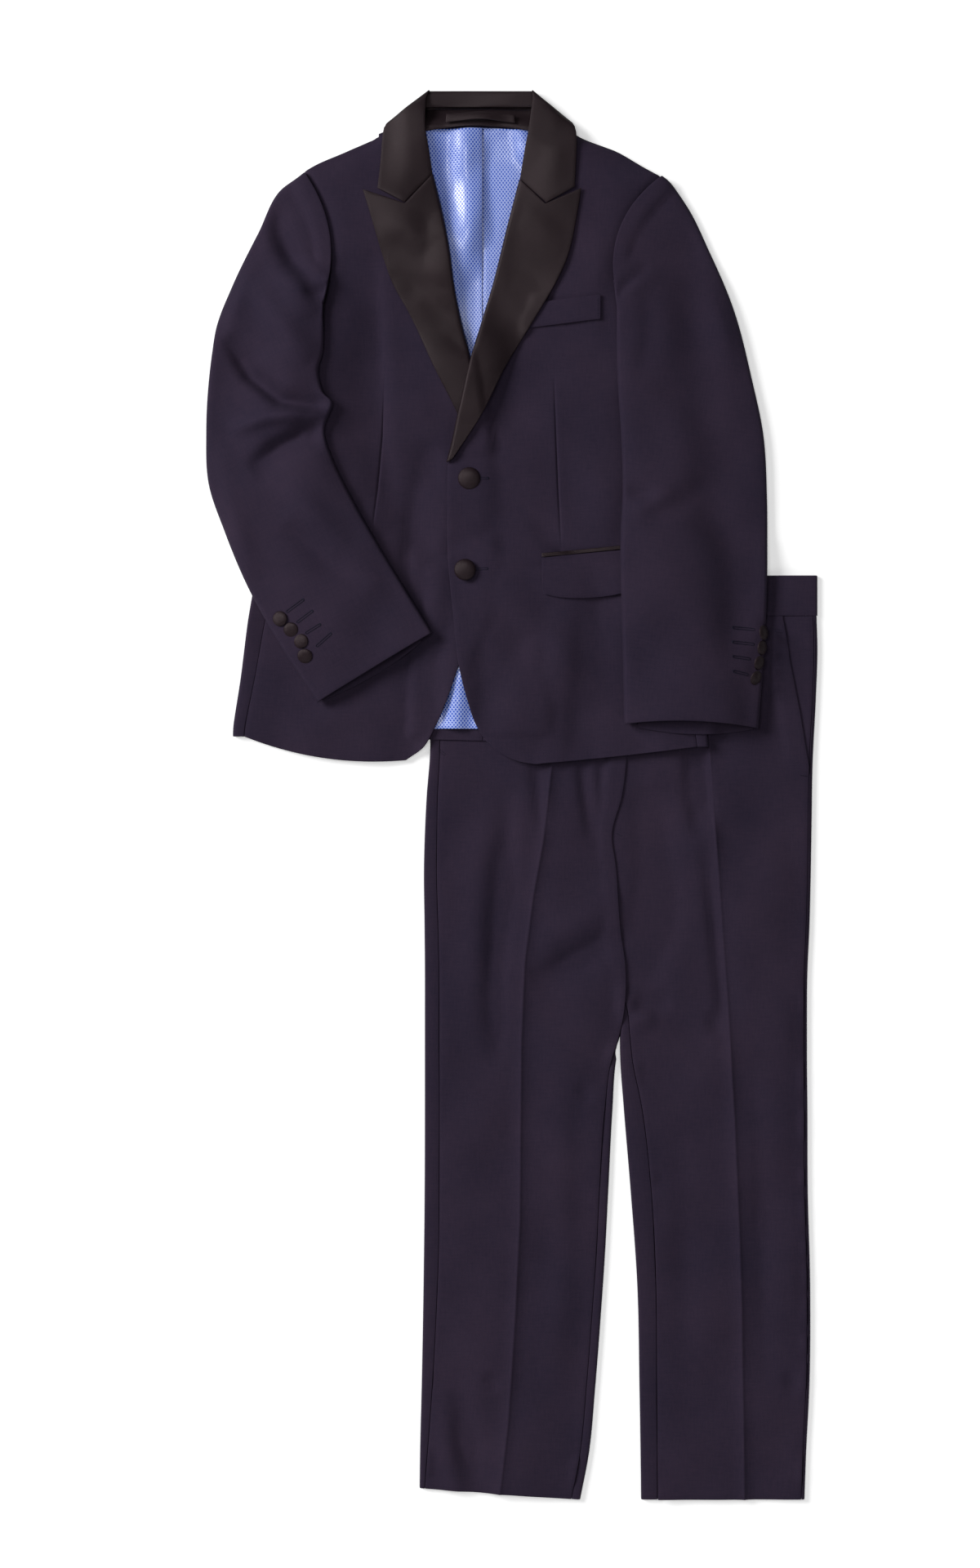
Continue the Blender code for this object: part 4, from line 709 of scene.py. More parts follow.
def tube_columns(width, seam_a, seam_b, fold, upper, count):
    """Distances along each row, and levels, for the upper or the lower part of a flat tube.

    A seam above 0 lies on the top layer that far in from the edge, one below 0 underneath.
    """
    lead_a = lead(seam_a, fold, upper)
    lead_b = lead(seam_b, fold, upper)
    first, last = lead_a[-1][0] + 0 * width, width - lead_b[-1][0]
    inner = [first + (last - first) * k / count for k in range(1, count)]
    level = 1.0 if upper else 0.0
    along = [d + 0 * width for d, _ in lead_a] + inner + [width - d for d, _ in lead_b[::-1]]
    levels = [v for _, v in lead_a] + [level] * len(inner) + [v for _, v in lead_b[::-1]]
    return np.array(along).T, np.tile(levels, (len(width), 1))


def shares(count, corner):
    """Even shares of each row, with one of them on its corner."""
    even = np.linspace(0, 1, count + 1)
    corner = corner[:, None]
    return np.where(even <= 0.5, 2 * even * corner, 1 - 2 * (1 - even) * (1 - corner))


def columns(width):
    """Even count of columns for a width in millimetres."""
    return 2 * ceil(width / STEP / 2)


def upright_share(across, down):
    """How upright the normal of a surface stands: 1 where it lies flat, 0 where it is vertical."""
    normal = np.cross(across, down)
    return np.abs(normal[..., 2]) / np.maximum(np.linalg.norm(normal, axis=-1), TINY)


# ---------------------------------------------------------------- map of heights

class Pile:
    """Height of the uppermost surface over each cell of the floor."""

    def __init__(self):
        shape = [int(2 * half / CELL) + 1 for half in MAP_HALF]
        self.top = np.full(shape, -AIR)

    def lay(self, points, faces):
        """Put a wall's outer side on the map."""
        spots, half = samples(points, faces)
        column, row = cells(spots)
        np.maximum.at(self.top, (column, row), spots[:, 2] + half)

    def copy(self):
        other = Pile()
        other.top = self.top.copy()
        return other

    def widened(self, reach):
        """The map with each height spread to all cells within the reach."""
        top = self.top
        for axis in (0, 1):
            wide = top
            for shift in range(1, ceil(reach / CELL) + 1):
                wide = np.maximum(wide, shifted(top, shift, axis))
                wide = np.maximum(wide, shifted(top, -shift, axis))
            top = wide
        return top

    def rest(self, plan, reach=NEAR):
        """Height of the middle of a wall laid softly at plan points."""
        return lookup(blurred(self.widened(reach + CELL), ceil(reach / CELL / 2)), plan) + AIR + WALL / 2

    def surface(self, plan):
        """Height of the uppermost surface, without the steps between cells."""
        return lookup(blurred(self.top, 1), plan)


def blurred(field, radius):
    """The map with each cell averaged over its neighbours, twice."""
    for axis in (0, 1, 0, 1):
        total = sum(shifted(field, k, axis) for k in range(-radius, radius + 1))
        field = total / (2 * radius + 1)
    return field


def shifted(field, step, axis):
    """The field moved by whole cells, its border repeated."""
    moved = np.roll(field, step, axis)
    edge = [slice(None), slice(None)]
    source = [slice(None), slice(None)]
    edge[axis] = slice(0, step) if step > 0 else slice(step, None)
    source[axis] = slice(0, 1) if step > 0 else slice(-1, None)
    if step:
        moved[tuple(edge)] = field[tuple(source)]
    return moved


def cells(spots):
    """Column and row of the map under each spot."""
    index = np.rint((spots[:, 0:2] + MAP_HALF) / CELL).astype(int)
    return index[:, 0], index[:, 1]


def lookup(field, plan):
    """Value of a map at plan points, blended between cells."""
    spot = (plan + MAP_HALF) / CELL
    whole = np.floor(spot).astype(int)
    part = spot - whole
    i, j = whole[..., 0], whole[..., 1]
    u, v = part[..., 0], part[..., 1]
    near = field[i, j] * (1 - u) + field[i + 1, j] * u
    far = field[i, j + 1] * (1 - u) + field[i + 1, j + 1] * u
    return near * (1 - v) + far * v


def grid_faces(rows, cols):
    """Triangles of a grid of points, as indices."""
    first = (np.arange(rows - 1)[:, None] * cols + np.arange(cols - 1)[None, :]).ravel()
    one = np.stack([first, first + 1, first + cols + 1], axis=1)
    two = np.stack([first, first + cols + 1, first + cols], axis=1)
    return np.concatenate([one, two])


def samples(points, faces):
    """Spots closer than a cell on the faces, and how far the wall reaches above them."""
    flat = points.reshape(-1, 3)
    a, b, c = flat[faces[:, 0]], flat[faces[:, 1]], flat[faces[:, 2]]
    longest = max(np.linalg.norm((a - b)[:, :2], axis=1).max(),
                  np.linalg.norm((b - c)[:, :2], axis=1).max())
    count = ceil(longest / (CELL * SAMPLE_SHARE))
    pairs = [(i, j) for i in range(count + 1) for j in range(count + 1 - i)]
    u, v = np.array(pairs, dtype=float).T / count
    weights = np.stack([1 - u - v, u, v], axis=1)
    spots = np.einsum("kw,fwx->fkx", weights, np.stack([a, b, c], axis=1)).reshape(-1, 3)
    upright = np.maximum(upright_share(b - a, c - a), STEEPEST)
    return spots, np.repeat(WALL / 2 / upright, len(weights))


# ---------------------------------------------------------------- folds

def along_route(plan, route):
    """Distance of plan points from a route, above 0 at its left, and how far along it they lie."""
    route = np.array(route, dtype=float)
    best = np.full(plan.shape[:2], np.inf)
    signed = np.zeros(plan.shape[:2])
    travelled = np.zeros(plan.shape[:2])
    lengths = np.linalg.norm(np.diff(route, axis=0), axis=1)
    before = 0.0
    for start, end, length in zip(route[:-1], route[1:], lengths):
        course = (end - start) / length
        offset = plan - start
        t = np.clip(offset @ course, 0, length)
        away = np.linalg.norm(offset - t[..., None] * course, axis=2)
        side = np.sign(course[0] * offset[..., 1] - course[1] * offset[..., 0])
        nearer = away < best
        best = np.where(nearer, away, best)
        signed = np.where(nearer, away * side, signed)
        travelled = np.where(nearer, before + t, travelled)
        before += length
    return signed, travelled / lengths.sum()


def folded(plan, folds):
    """Height that folds add at plan points."""
    rise = np.zeros(plan.shape[:2])
    for fold in folds:
        away, travelled = along_route(plan, fold.route)
        strength = np.sin(pi * travelled) ** FADE if fold.fade else 1.0
        width = np.where(away > 0, fold.left, fold.right)
        rise += cloth_settings().folds * fold.rise * strength * np.exp(-(away / width) ** 2)
    return rise


def waves(plan, strength):
    """Height that the low waves of laid cloth add at plan points."""
    rise = np.zeros(plan.shape[:2])
    for wave in WAVES:
        course = (cos(radians(wave.heading)), sin(radians(wave.heading)))
        bend = WAVE_BEND * np.sin(plan @ course[::-1] * pi / wave.length + wave.shift)
        rise += wave.rise * np.sin(plan @ course * 2 * pi / wave.length + wave.shift + bend)
    return rise * strength * cloth_settings().waves


# ---------------------------------------------------------------- cloth

class Cloth:
    """Middle surface of one piece of cloth: rows of points and the layer level of each."""

    def __init__(self, name, plan, levels, low, high, finish="wool", grain=0.0):
        self.name = name
        self.finish = finish
        self.grain = grain
        self.levels = levels
        height = low + (high - low) * levels
        self.points = np.concatenate([plan, height[:, :, None]], axis=2)
        self.faces = grid_faces(*plan.shape[:2])

    def part(self, upper):
        """Faces of the upper or of the lower layer."""
        level = self.levels.ravel()[self.faces]
        return self.faces[(level > TOP_LEVEL if upper else level < LOW_LEVEL).all(axis=1)]

    def settle(self, pile, upper=True):
        """Raise the upper or the lower layer until it lies clear of what is below it."""
        field = blurred(pile.widened(3 * CELL), 1)
        down, across = np.gradient(self.points, axis=0), np.gradient(self.points, axis=1)
        upright = np.maximum(upright_share(across, down), STEEPEST)
        need = lookup(field, self.points[..., 0:2]) + AIR + WALL / 2 / upright
        lack = np.maximum(need - self.points[..., 2], 0)
        self.points[..., 2] += lack * (self.levels if upper else 1 - self.levels)

    def lay(self, pile, upper=None):
        faces = self.faces if upper is None else self.part(upper)
        if len(faces):
            pile.lay(self.points, faces)

    def make(self, rests_on=None, sewn_on=()):
        """Closed wall with half-round rims, which stands for the solid of the same name.

        What it rests on goes to declare, which does nothing.
        """
        thing = bpy.data.objects.new(f"{self.name}_cloth", wall_mesh(self))
        bpy.context.scene.collection.objects.link(thing)
        thing.data.materials.append(finish_of(self.finish))
        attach(thing, "root")
        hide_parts(self.name)
        if rests_on:
            self.declare(thing, rests_on, sewn_on)
        return thing

    def declare(self, thing, rests_on, sewn_on=()):
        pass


def wall_mesh(cloth):
    """Mesh of a wall round the middle surface, with the weave's own map in metres."""
    grid = cloth.points * MM
    rows, cols = grid.shape[:2]
    half = cloth_settings().wall / 2
    across, down = np.gradient(grid, axis=1), np.gradient(grid, axis=0)
    normal = np.cross(across, down)
    normal /= np.maximum(np.linalg.norm(normal, axis=2, keepdims=True), TINY)

    outward = np.zeros_like(grid)
    for edge, course in (((slice(None), 0), -across), ((slice(None), -1), across),
                         ((0, slice(None)), -down), ((-1, slice(None)), down)):
        step = course[edge]
        outward[edge] += step / np.maximum(np.linalg.norm(step, axis=1, keepdims=True), TINY)
    outward -= normal * (outward * normal).sum(axis=2, keepdims=True)
    size = np.linalg.norm(outward, axis=2, keepdims=True)
    outward /= np.where(size > TINY, size, 1)

    number = np.arange(rows * cols).reshape(rows, cols)
    loop = np.concatenate([number[0, :-1], number[:-1, -1], number[-1, :0:-1], number[:0:-1, 0]])
    flat, out, up = (x.reshape(-1, 3) for x in (grid, outward, normal))
    core = flat - out * half
    points = [core + up * half, core - up * half]
    rings = [loop]
    for k, angle in enumerate(RIM_ANGLES):
        reach, lift = half * cos(radians(angle)), half * sin(radians(angle))
        points.append(core[loop] + out[loop] * reach + up[loop] * lift)
        rings.append(2 * rows * cols + k * len(loop) + np.arange(len(loop)))
    rings.append(loop + rows * cols)

    i, j = number[:-1, :-1].ravel(), number[:-1, 1:].ravel()
    k, m = number[1:, 1:].ravel(), number[1:, :-1].ravel()
    quads = [np.stack([i, j, k, m], axis=1), np.stack([m, k, j, i], axis=1) + rows * cols]
    for upper, lower in zip(rings[:-1], rings[1:]):
        quads.append(np.stack([np.roll(upper, -1), upper, lower, np.roll(lower, -1)], axis=1))
    quads = np.concatenate(quads)

    angle = radians(cloth.grain)
    turned = grid[..., 0:2] @ np.array([[cos(angle), -sin(angle)], [sin(angle), cos(angle)]])
    weave = turned.reshape(-1, 2)
    weave = np.concatenate([weave, weave] + [weave[loop]] * len(RIM_ANGLES))

    mesh = bpy.data.meshes.new(f"{cloth.name}_cloth")
    mesh.from_pydata(np.concatenate(points).tolist(), [], quads.tolist())
    layer = mesh.uv_layers.new(name="cloth")
    layer.data.foreach_set("uv", weave[quads.ravel()].astype(np.float32).ravel())
    mesh.shade_smooth()
    return mesh


def tube_cloth(name, ends, seams, fold, upper, count, low, loft, bow=None, grain=0.0, folds=(),
               finish="wool", high=None):
    """Upper or lower part of a flat tube.

    Low gives the height of the lower layer at plan points; the upper one keeps its distance from
    high, where that is given.
    """
    width = width_of(ends)
    along, levels = tube_columns(width, seams[0], seams[1], fold, upper, count)
    plan = place(ends, along, bow)
    share = np.clip(along / width[:, None], 0, 1)
    bottom = low(plan)
    swell = np.maximum(np.sin(pi * share), 0)
    top = (high(plan) if high else bottom) + 2 * fold + loft[:, None] * swell ** SWELL
    top += (folded(plan, folds) + waves(plan, 1.0)) * np.minimum(1, CALM_TUBE * swell)
    return Cloth(name, plan, levels, bottom, top, finish, grain)


def laid_cloth(name, rows, pile, finish="wool", grain=0.0, folds=(), wavy=1.0, ground=None,
               line=None, reach=NEAR):
    """Cloth that lies on the pile; its rises count from the pile too, unless a ground is given.

    A line, such as a dart, gets columns of its own that follow it.
    """
    count = columns(WIDTHS[name]) if name in WIDTHS else NARROW
    ends = spread(rows) if isinstance(rows, list) else rows
    share = shares(count, ends[:, 5]) * np.ones((len(ends), 1))
    if line is not None:
        share = with_line(ends, count, line)
    along = share * width_of(ends)[:, None]
    plan = place(ends, along, ends[:, 4], ends[:, 5])
    side = np.where(share < 0.5, ends[:, 6:7], ends[:, 8:9])
    swell = np.maximum(np.sin(pi * share), 0)
    rise = side + (ends[:, 7:8] - side) * swell ** SWELL
    unevenness = waves(plan, wavy) * np.minimum(1, CALM_FLAT * swell)
    height = (ground or pile).rest(plan, reach) + rise + folded(plan, folds) + unevenness
    cloth = Cloth(name, plan, np.ones(share.shape), height, height, finish, grain)
    cloth.settle(pile)
    return cloth


def with_line(ends, count, line):
    """Shares of each row with close columns on both sides of a line that crosses the rows."""
    line = np.array(line, dtype=float)[::-1]
    middle = (ends[:, 1] + ends[:, 3]) / 2
    at = np.interp(middle, line[:, 1], line[:, 0])
    centre = (at - ends[:, 0]) / (ends[:, 2] - ends[:, 0])
    unit = 1 / np.abs(ends[:, 2] - ends[:, 0])
    close = centre[:, None] + unit[:, None] * np.array(DART_COLUMNS)
    before = max(2, round(count * centre.mean()))
    left = np.linspace(0, 1, before)[None, :] * (close[:, :1] - DART_CLEAR * unit[:, None])
    right = close[:, -1:] + DART_CLEAR * unit[:, None]
    right = right + (1 - right) * np.linspace(0, 1, max(2, count - before))[None, :]
    return np.concatenate([left, close, right], axis=1)


def dart(line):
    """Narrow trough of a dart, with low shoulders where the cloth is taken in."""
    return [Fold(-DART_DEPTH, DART_HALF, DART_HALF, line),
            Fold(SHOULDER_RISE, SHOULDER_HALF, SHOULDER_HALF, line)]


# ---------------------------------------------------------------- finishes

def feed(tree, socket, value):
    """Set an input, or link it where the value is an output."""
    if isinstance(value, bpy.types.NodeSocket):
        tree.links.new(value, socket)
    elif socket.type == "RGBA":
        socket.default_value = (*value, 1)
    else:
        socket.default_value = value


def fill(tree, node, **values):
    """Set or link a node's inputs by name."""
    for name, value in values.items():
        feed(tree, node.inputs[name.replace("_", " ")], value)
    return node


def put(tree, kind, **values):
    """New node with its inputs by name."""
    return fill(tree, tree.nodes.new(kind), **values)


def reckon(tree, operation, *terms):
    """Output of a math node."""
    node = tree.nodes.new("ShaderNodeMath")
    node.operation = operation
    for socket, term in zip(node.inputs, terms):
        feed(tree, socket, term)
    return node.outputs[0]


def times(tree, value, factor):
    return reckon(tree, "MULTIPLY", value, factor)


def mapped(tree, value, factor, start):
    """A value times a factor, counted from a start."""
    return reckon(tree, "MULTIPLY_ADD", value, factor, start)


def ramp(tree, value, low, high, smooth=True):
    """Value mapped from low..high to 0..1."""
    node = tree.nodes.new("ShaderNodeMapRange")
    node.interpolation_type = "SMOOTHSTEP" if smooth else "LINEAR"
    return fill(tree, node, Value=value, From_Min=low, From_Max=high).outputs["Result"]


def blend(tree, factor, one, other):
    """Mix of two colours."""
    node = tree.nodes.new("ShaderNodeMix")
    node.data_type = "RGBA"
    for name, value in (("Factor_Float", factor), ("A_Color", one), ("B_Color", other)):
        feed(tree, next(s for s in node.inputs if s.identifier == name), value)
    return next(s for s in node.outputs if s.identifier == "Result_Color")


def half_turns(tree, value):
    """Sine of a value in half turns."""
    return reckon(tree, "SINE", times(tree, value, pi))


def weave_group(tree, entry, leave):
    """Threads that pass over and under each other: Height, and Over where the warp is on top."""
    spot = put(tree, "ShaderNodeSeparateXYZ", Vector=entry["Vector"])
    x, y = (reckon(tree, "DIVIDE", spot.outputs[axis], entry["Pitch"]) for axis in "XY")
    warp, weft = (reckon(tree, "ABSOLUTE", half_turns(tree, course)) for course in (x, y))
    over = ramp(tree, half_turns(tree, mapped(tree, y, entry["Slant"], x)), -0.4, 0.4)
    lower = times(tree, reckon(tree, "SUBTRACT", 1.0, over), weft)
    feed(tree, leave["Height"], reckon(tree, "ADD", times(tree, over, warp), lower))
    feed(tree, leave["Over"], over)


def slub_group(tree, entry, leave):
    """Uneven threads along both directions of a cloth, with broad soft patches: Factor."""
    parts = []
    for stretch in ((1, 0.12, 1), (0.12, 1, 1)):
        turned = put(tree, "ShaderNodeMapping", Vector=entry["Vector"], Scale=stretch)
        scale = reckon(tree, "DIVIDE", 1.0, entry["Size"])
        parts.append(put(tree, "ShaderNodeTexNoise", Vector=turned.outputs["Vector"], Scale=scale,
                         Detail=3.0, Roughness=0.6).outputs["Fac"])
    broad = put(tree, "ShaderNodeTexNoise", Vector=entry["Vector"],
                Scale=reckon(tree, "DIVIDE", 1.0, entry["Patch"]), Detail=2.0).outputs["Fac"]
    threads = times(tree, reckon(tree, "ADD", *parts), 0.5)
    both = mapped(tree, broad, 0.45, times(tree, threads, 0.55))
    feed(tree, leave["Factor"], ramp(tree, both, 0.34, 0.66, smooth=False))


def lattice_group(tree, entry, leave):
    """Lattice of small ovals in a net: Oval, and Height of the net's threads."""
    spot = put(tree, "ShaderNodeSeparateXYZ", Vector=entry["Vector"])
    turns = reckon(tree, "DIVIDE", 2 * pi, entry["Pitch"])
    x, y = (times(tree, spot.outputs[axis], turns) for axis in "XY")
    y = reckon(tree, "DIVIDE", y, entry["Tall"])
    field = times(tree, reckon(tree, "COSINE", x), reckon(tree, "COSINE", y))
    feed(tree, leave["Oval"], ramp(tree, field, -0.05, 0.4))
    feed(tree, leave["Height"], ramp(tree, field, 0.6, -0.2))


# Group of nodes: what fills it, its values besides the Vector, and its outputs.
GROUPS = {
    "weave": (weave_group, ("Pitch", "Slant"), ("Height", "Over")),
    "slub": (slub_group, ("Size", "Patch"), ("Factor",)),
    "lattice": (lattice_group, ("Pitch", "Tall"), ("Oval", "Height")),
}


def new_group(name):
    build, values, outputs = GROUPS[name]
    tree = bpy.data.node_groups.new(name, "ShaderNodeTree")
    tree.interface.new_socket(name="Vector", in_out="INPUT", socket_type="NodeSocketVector")
    for way, labels in (("INPUT", values), ("OUTPUT", outputs)):
        for label in labels:
            tree.interface.new_socket(name=label, in_out=way, socket_type="NodeSocketFloat")
    build(tree, tree.nodes.new("NodeGroupInput").outputs, tree.nodes.new("NodeGroupOutput").inputs)
    return tree


def use_group(tree, name, **values):
    """Outputs of a group, which is made where it isn't there yet."""
    node = tree.nodes.new("ShaderNodeGroup")
    node.node_tree = bpy.data.node_groups.get(name) or new_group(name)
    return fill(tree, node, **values).outputs


def raised(tree, shader, height, distance):
    """Give a shader a bump."""
    bump = put(tree, "ShaderNodeBump", Height=height, Strength=1.0, Distance=distance)
    fill(tree, shader, Normal=bump.outputs["Normal"])


def wool_finish(tree, shader, where):
    """Fine worsted: a twill of two near colours with uneven threads and a soft bloom."""
    weave = use_group(tree, "weave", Vector=where, Pitch=0.00055, Slant=1.0)
    slub = use_group(tree, "slub", Vector=where, Size=0.0016, Patch=0.09)["Factor"]
    factor = mapped(tree, weave["Over"], 0.35, times(tree, slub, 0.65))
    fill(tree, shader, Base_Color=blend(tree, factor, colours().wool, colours().wool_thread),
         Roughness=mapped(tree, slub, 0.12, 0.66),
         Specular_IOR_Level=0.12, Specular_Tint=(0.8, 0.62, 1.0),
         Sheen_Weight=0.03, Sheen_Roughness=0.45, Sheen_Tint=(0.55, 0.5, 0.8))
    raised(tree, shader, mapped(tree, slub, 0.8, weave["Height"]), 0.00012)


def satin_finish(tree, shader, where, gain=1.0):
    """Warp-faced satin: fine lengthwise floats, a soft broad gloss and faint streaks."""
    weave = use_group(tree, "weave", Vector=where, Pitch=0.00032, Slant=0.25)
    slub = use_group(tree, "slub", Vector=where, Size=0.0011, Patch=0.05)["Factor"]
    # A gain above 1 paints the satin paler; the buttons use it as painted highlight.
    ground = [gain * part for part in colours().satin]
    dark, pale = ([share * part for part in ground] for share in (0.8, 1.3))
    fill(tree, shader, Base_Color=blend(tree, slub, dark, pale),
         Roughness=mapped(tree, slub, 0.09, 0.36),
         Specular_IOR_Level=0.25, Specular_Tint=(1.0, 0.84, 0.86))
    raised(tree, shader, mapped(tree, slub, 0.5, weave["Height"]), 0.00005)


def button_satin_finish(tree, shader, where):
    """The same satin, painted paler by the buttons' gain: a painted highlight for the gloss on their domes.
    """
    satin_finish(tree, shader, where, BUTTON_PAINTED_GLOSS)


def lining_finish(tree, shader, where):
    """Jacquard lining: blue ovals in a pale net, with a bright gloss."""
    lattice = use_group(tree, "lattice", Vector=where, Pitch=0.0031, Tall=1.3)
    slub = use_group(tree, "slub", Vector=where, Size=0.0012, Patch=0.03)["Factor"]
    tone = blend(tree, lattice["Oval"], colours().lining_net, colours().lining)
    tone = blend(tree, times(tree, slub, 0.12), tone, colours().lining)
    fill(tree, shader, Base_Color=tone, Roughness=mapped(tree, lattice["Oval"], 0.1, 0.26),
         Specular_IOR_Level=0.9)
    raised(tree, shader, lattice["Height"], 0.00008)


def thread_finish(tree, shader, where):
    """Twisted sewing thread, darker and a little smoother than the wool."""
    slub = use_group(tree, "slub", Vector=where, Size=0.0005, Patch=0.004)["Factor"]
    twist = put(tree, "ShaderNodeTexWave", Vector=where, Scale=420.0, Distortion=0.6).outputs["Fac"]
    fill(tree, shader, Base_Color=blend(tree, slub, (0.004, 0.004, 0.012), (0.010, 0.010, 0.026)),
         Roughness=mapped(tree, twist, 0.15, 0.62), Specular_IOR_Level=0.2)
    raised(tree, shader, twist, 0.00006)


# Finish: what fills its material, and whether the pattern follows the cloth or the object.
FINISHES = {
    "wool": (wool_finish, "cloth"),
    "satin": (satin_finish, "cloth"),
    "lining": (lining_finish, "cloth"),
    "button_satin": (button_satin_finish, "object"),
    "thread": (thread_finish, "object"),
}


def finish_of(name):
    """Material of that finish, made where it isn't there yet."""
    label = f"{name}_finish"
    if label in bpy.data.materials:
        return bpy.data.materials[label]
    build, source = FINISHES[name]
    finish, tree, shader = new_material(label)
    if source == "cloth":
        where = tree.nodes.new("ShaderNodeUVMap")
        where.uv_map = "cloth"
        build(tree, shader, where.outputs["UV"])
    else:
        build(tree, shader, tree.nodes.new("ShaderNodeTexCoord").outputs["Object"])
    return finish


def new_material(name):
    """Material with its tree and its shader."""
    material = bpy.data.materials.new(name)
    material.use_nodes = True
    return material, material.node_tree, material.node_tree.nodes["Principled BSDF"]


# ---------------------------------------------------------------- trousers

def on_floor(plan):
    return np.full(plan.shape[:2], WALL / 2)


def leg(side, table, pile):
    """Back and front of one leg, and the sampled rows that they share."""
    rows = spread(table)
    ends, seams = rows[:, 0:4], (rows[:, 4], rows[:, 5])
    wrap = np.clip(rows[:, 6:7], 0, 1)
    width = width_of(ends)

    along, levels = tube_columns(width, seams[0], np.maximum(seams[1], SEAM_UNDER), TROUSER_FOLD, False,
                                 columns(WIDTHS["leg"]))
    turned = TURN_POINTS + 1
    flat = width[:, None] - SEAM / 2 - np.linspace(SEAT_EDGE, 0, turned)
    inner = along[:, turned:-turned]
    share = np.linspace(0, 1, inner.shape[1] + 2)[1:-1]
    opened = along[:, turned - 1:turned] * (1 - share) + flat[:, 0:1] * share
    along[:, turned:-turned] = inner * wrap + opened * (1 - wrap)
    along[:, -turned:] = along[:, -turned:] * wrap + flat * (1 - wrap)
    levels[:, -turned:] *= wrap
    plan = place(ends, along)
    back = Cloth(f"trouser_back_{side}", plan, levels, on_floor(plan), on_floor(plan) + 2 * TROUSER_FOLD)
    back.lay(pile, upper=False)
    turning = ((wrap[:, 0] > 0) & (wrap[:, 0] < 1)).nonzero()[0]
    pile.lay(back.points, back.faces[np.isin(back.faces.min(axis=1) // plan.shape[1], turning)])

    if side == "left":
        mouth = np.array(POCKET_MOUTH)[::-1]
        inside = np.interp(rows[:, 1], mouth[:, 0], mouth[:, 1], left=0)
        seams = (np.maximum(seams[0], inside), seams[1])
    first = (seams[0] + SEAM / 2)[:, None]
    last = (width - seams[1] - SEAM / 2)[:, None]
    crease = np.array(CREASES[side])[::-1]
    crease_at = np.abs(np.interp(rows[:, 1], crease[:, 1], crease[:, 0]) - rows[:, 0])[:, None]
    close = crease_at + np.array(CREASE_COLUMNS)
    share = np.linspace(0, 1, columns(WIDTHS["crease_side"]))[None, :]
    outer = first * (1 - share) + (close[:, :1] - CREASE_CLEAR) * share
    inner = (close[:, -1:] + CREASE_CLEAR) * (1 - share) + last * share
    along = np.concatenate([outer, close, inner], axis=1)
    plan = place(ends, along)
    swell = np.sin(pi * np.clip(along / width[:, None], 0, 1))
    rise = cloth_settings().crease / MM
    pressed = [Fold(part * rise, half, half, CREASES[side], 0) for part, half in CREASE_RIDGES]
    top = on_floor(plan) + 2 * TROUSER_FOLD + LEG_LOFT * swell ** SWELL
    top += folded(plan, pressed + LEG_FOLDS) + waves(plan, 1.0) * np.minimum(1, CALM_TUBE * swell)
    front = Cloth(f"trouser_front_{side}", plan, np.ones(along.shape), top, top)
    return back, front, rows


def pocket_facing(rows):
    """Cloth that shows between the slanted pocket mouth and the side seam."""
    mouth = np.array(POCKET_MOUTH)[::-1]
    shown = rows[(rows[:, 1] >= POCKET_MOUTH[-1].y - 1)]
    inside = np.interp(shown[:, 1], mouth[:, 0], mouth[:, 1])
    share = np.linspace(0, 1, columns(FACING_UNDERLAP) + 4)[None, :]
    first = (shown[:, 4] + SEAM / 2)[:, None]
    along = first * (1 - share) + (inside + FACING_UNDERLAP)[:, None] * share
    plan = place(shown[:, 0:4], along)
    height = on_floor(plan) + 2 * TROUSER_FOLD - FACING_DROP * share
    return Cloth("pocket_facing", plan, np.ones(plan.shape[:2]), height, height)


def lay_trousers(laid):
    """All pieces of the trousers, laid on the floor."""
    pile = laid.pile
    back_r, front_r, _ = leg("right", RIGHT_LEG, pile)
    back_l, front_l, rows = leg("left", LEFT_LEG, pile)
    low_edge, high_edge = WAISTBAND[0] - SEAM, WAISTBAND[1]
    ends = spread([Row(WAISTBAND_ENDS[0], y, WAISTBAND_ENDS[1], y) for y in (low_edge, high_edge)])
    size = len(ends)
    seams = [np.full(size, seam) for seam in WAISTBAND_SEAMS]
    loft = np.full(size, WAISTBAND_LOFT)
    count = columns(WAISTBAND_ENDS[1] - WAISTBAND_ENDS[0])
    band_back = tube_cloth("waistband_back", ends, seams, TROUSER_FOLD, False, count, on_floor, loft)
    band_front = tube_cloth("waistband_front", ends, seams, TROUSER_FOLD, True, count, on_floor, loft)
    facing = pocket_facing(rows)
    band_back.lay(pile, upper=False)
    facing.settle(pile)

    facing_pile = pile.copy()
    facing.lay(facing_pile)
    front_l.settle(facing_pile)
    front_l.lay(pile)
    front_r.settle(pile)
    for cloth in (back_r, back_l, band_back, facing, front_l, front_r, band_front):
        cloth.lay(pile)
    floor = ["floor"]
    for cloth in (back_r, back_l, band_back):
        cloth.make(floor)
    facing.make(["trouser_back_left"])
    front_l.make(["trouser_back_left"])
    front_r.make(["trouser_back_right"])
    band_front.make(["waistband_back"])


# ---------------------------------------------------------------- jacket

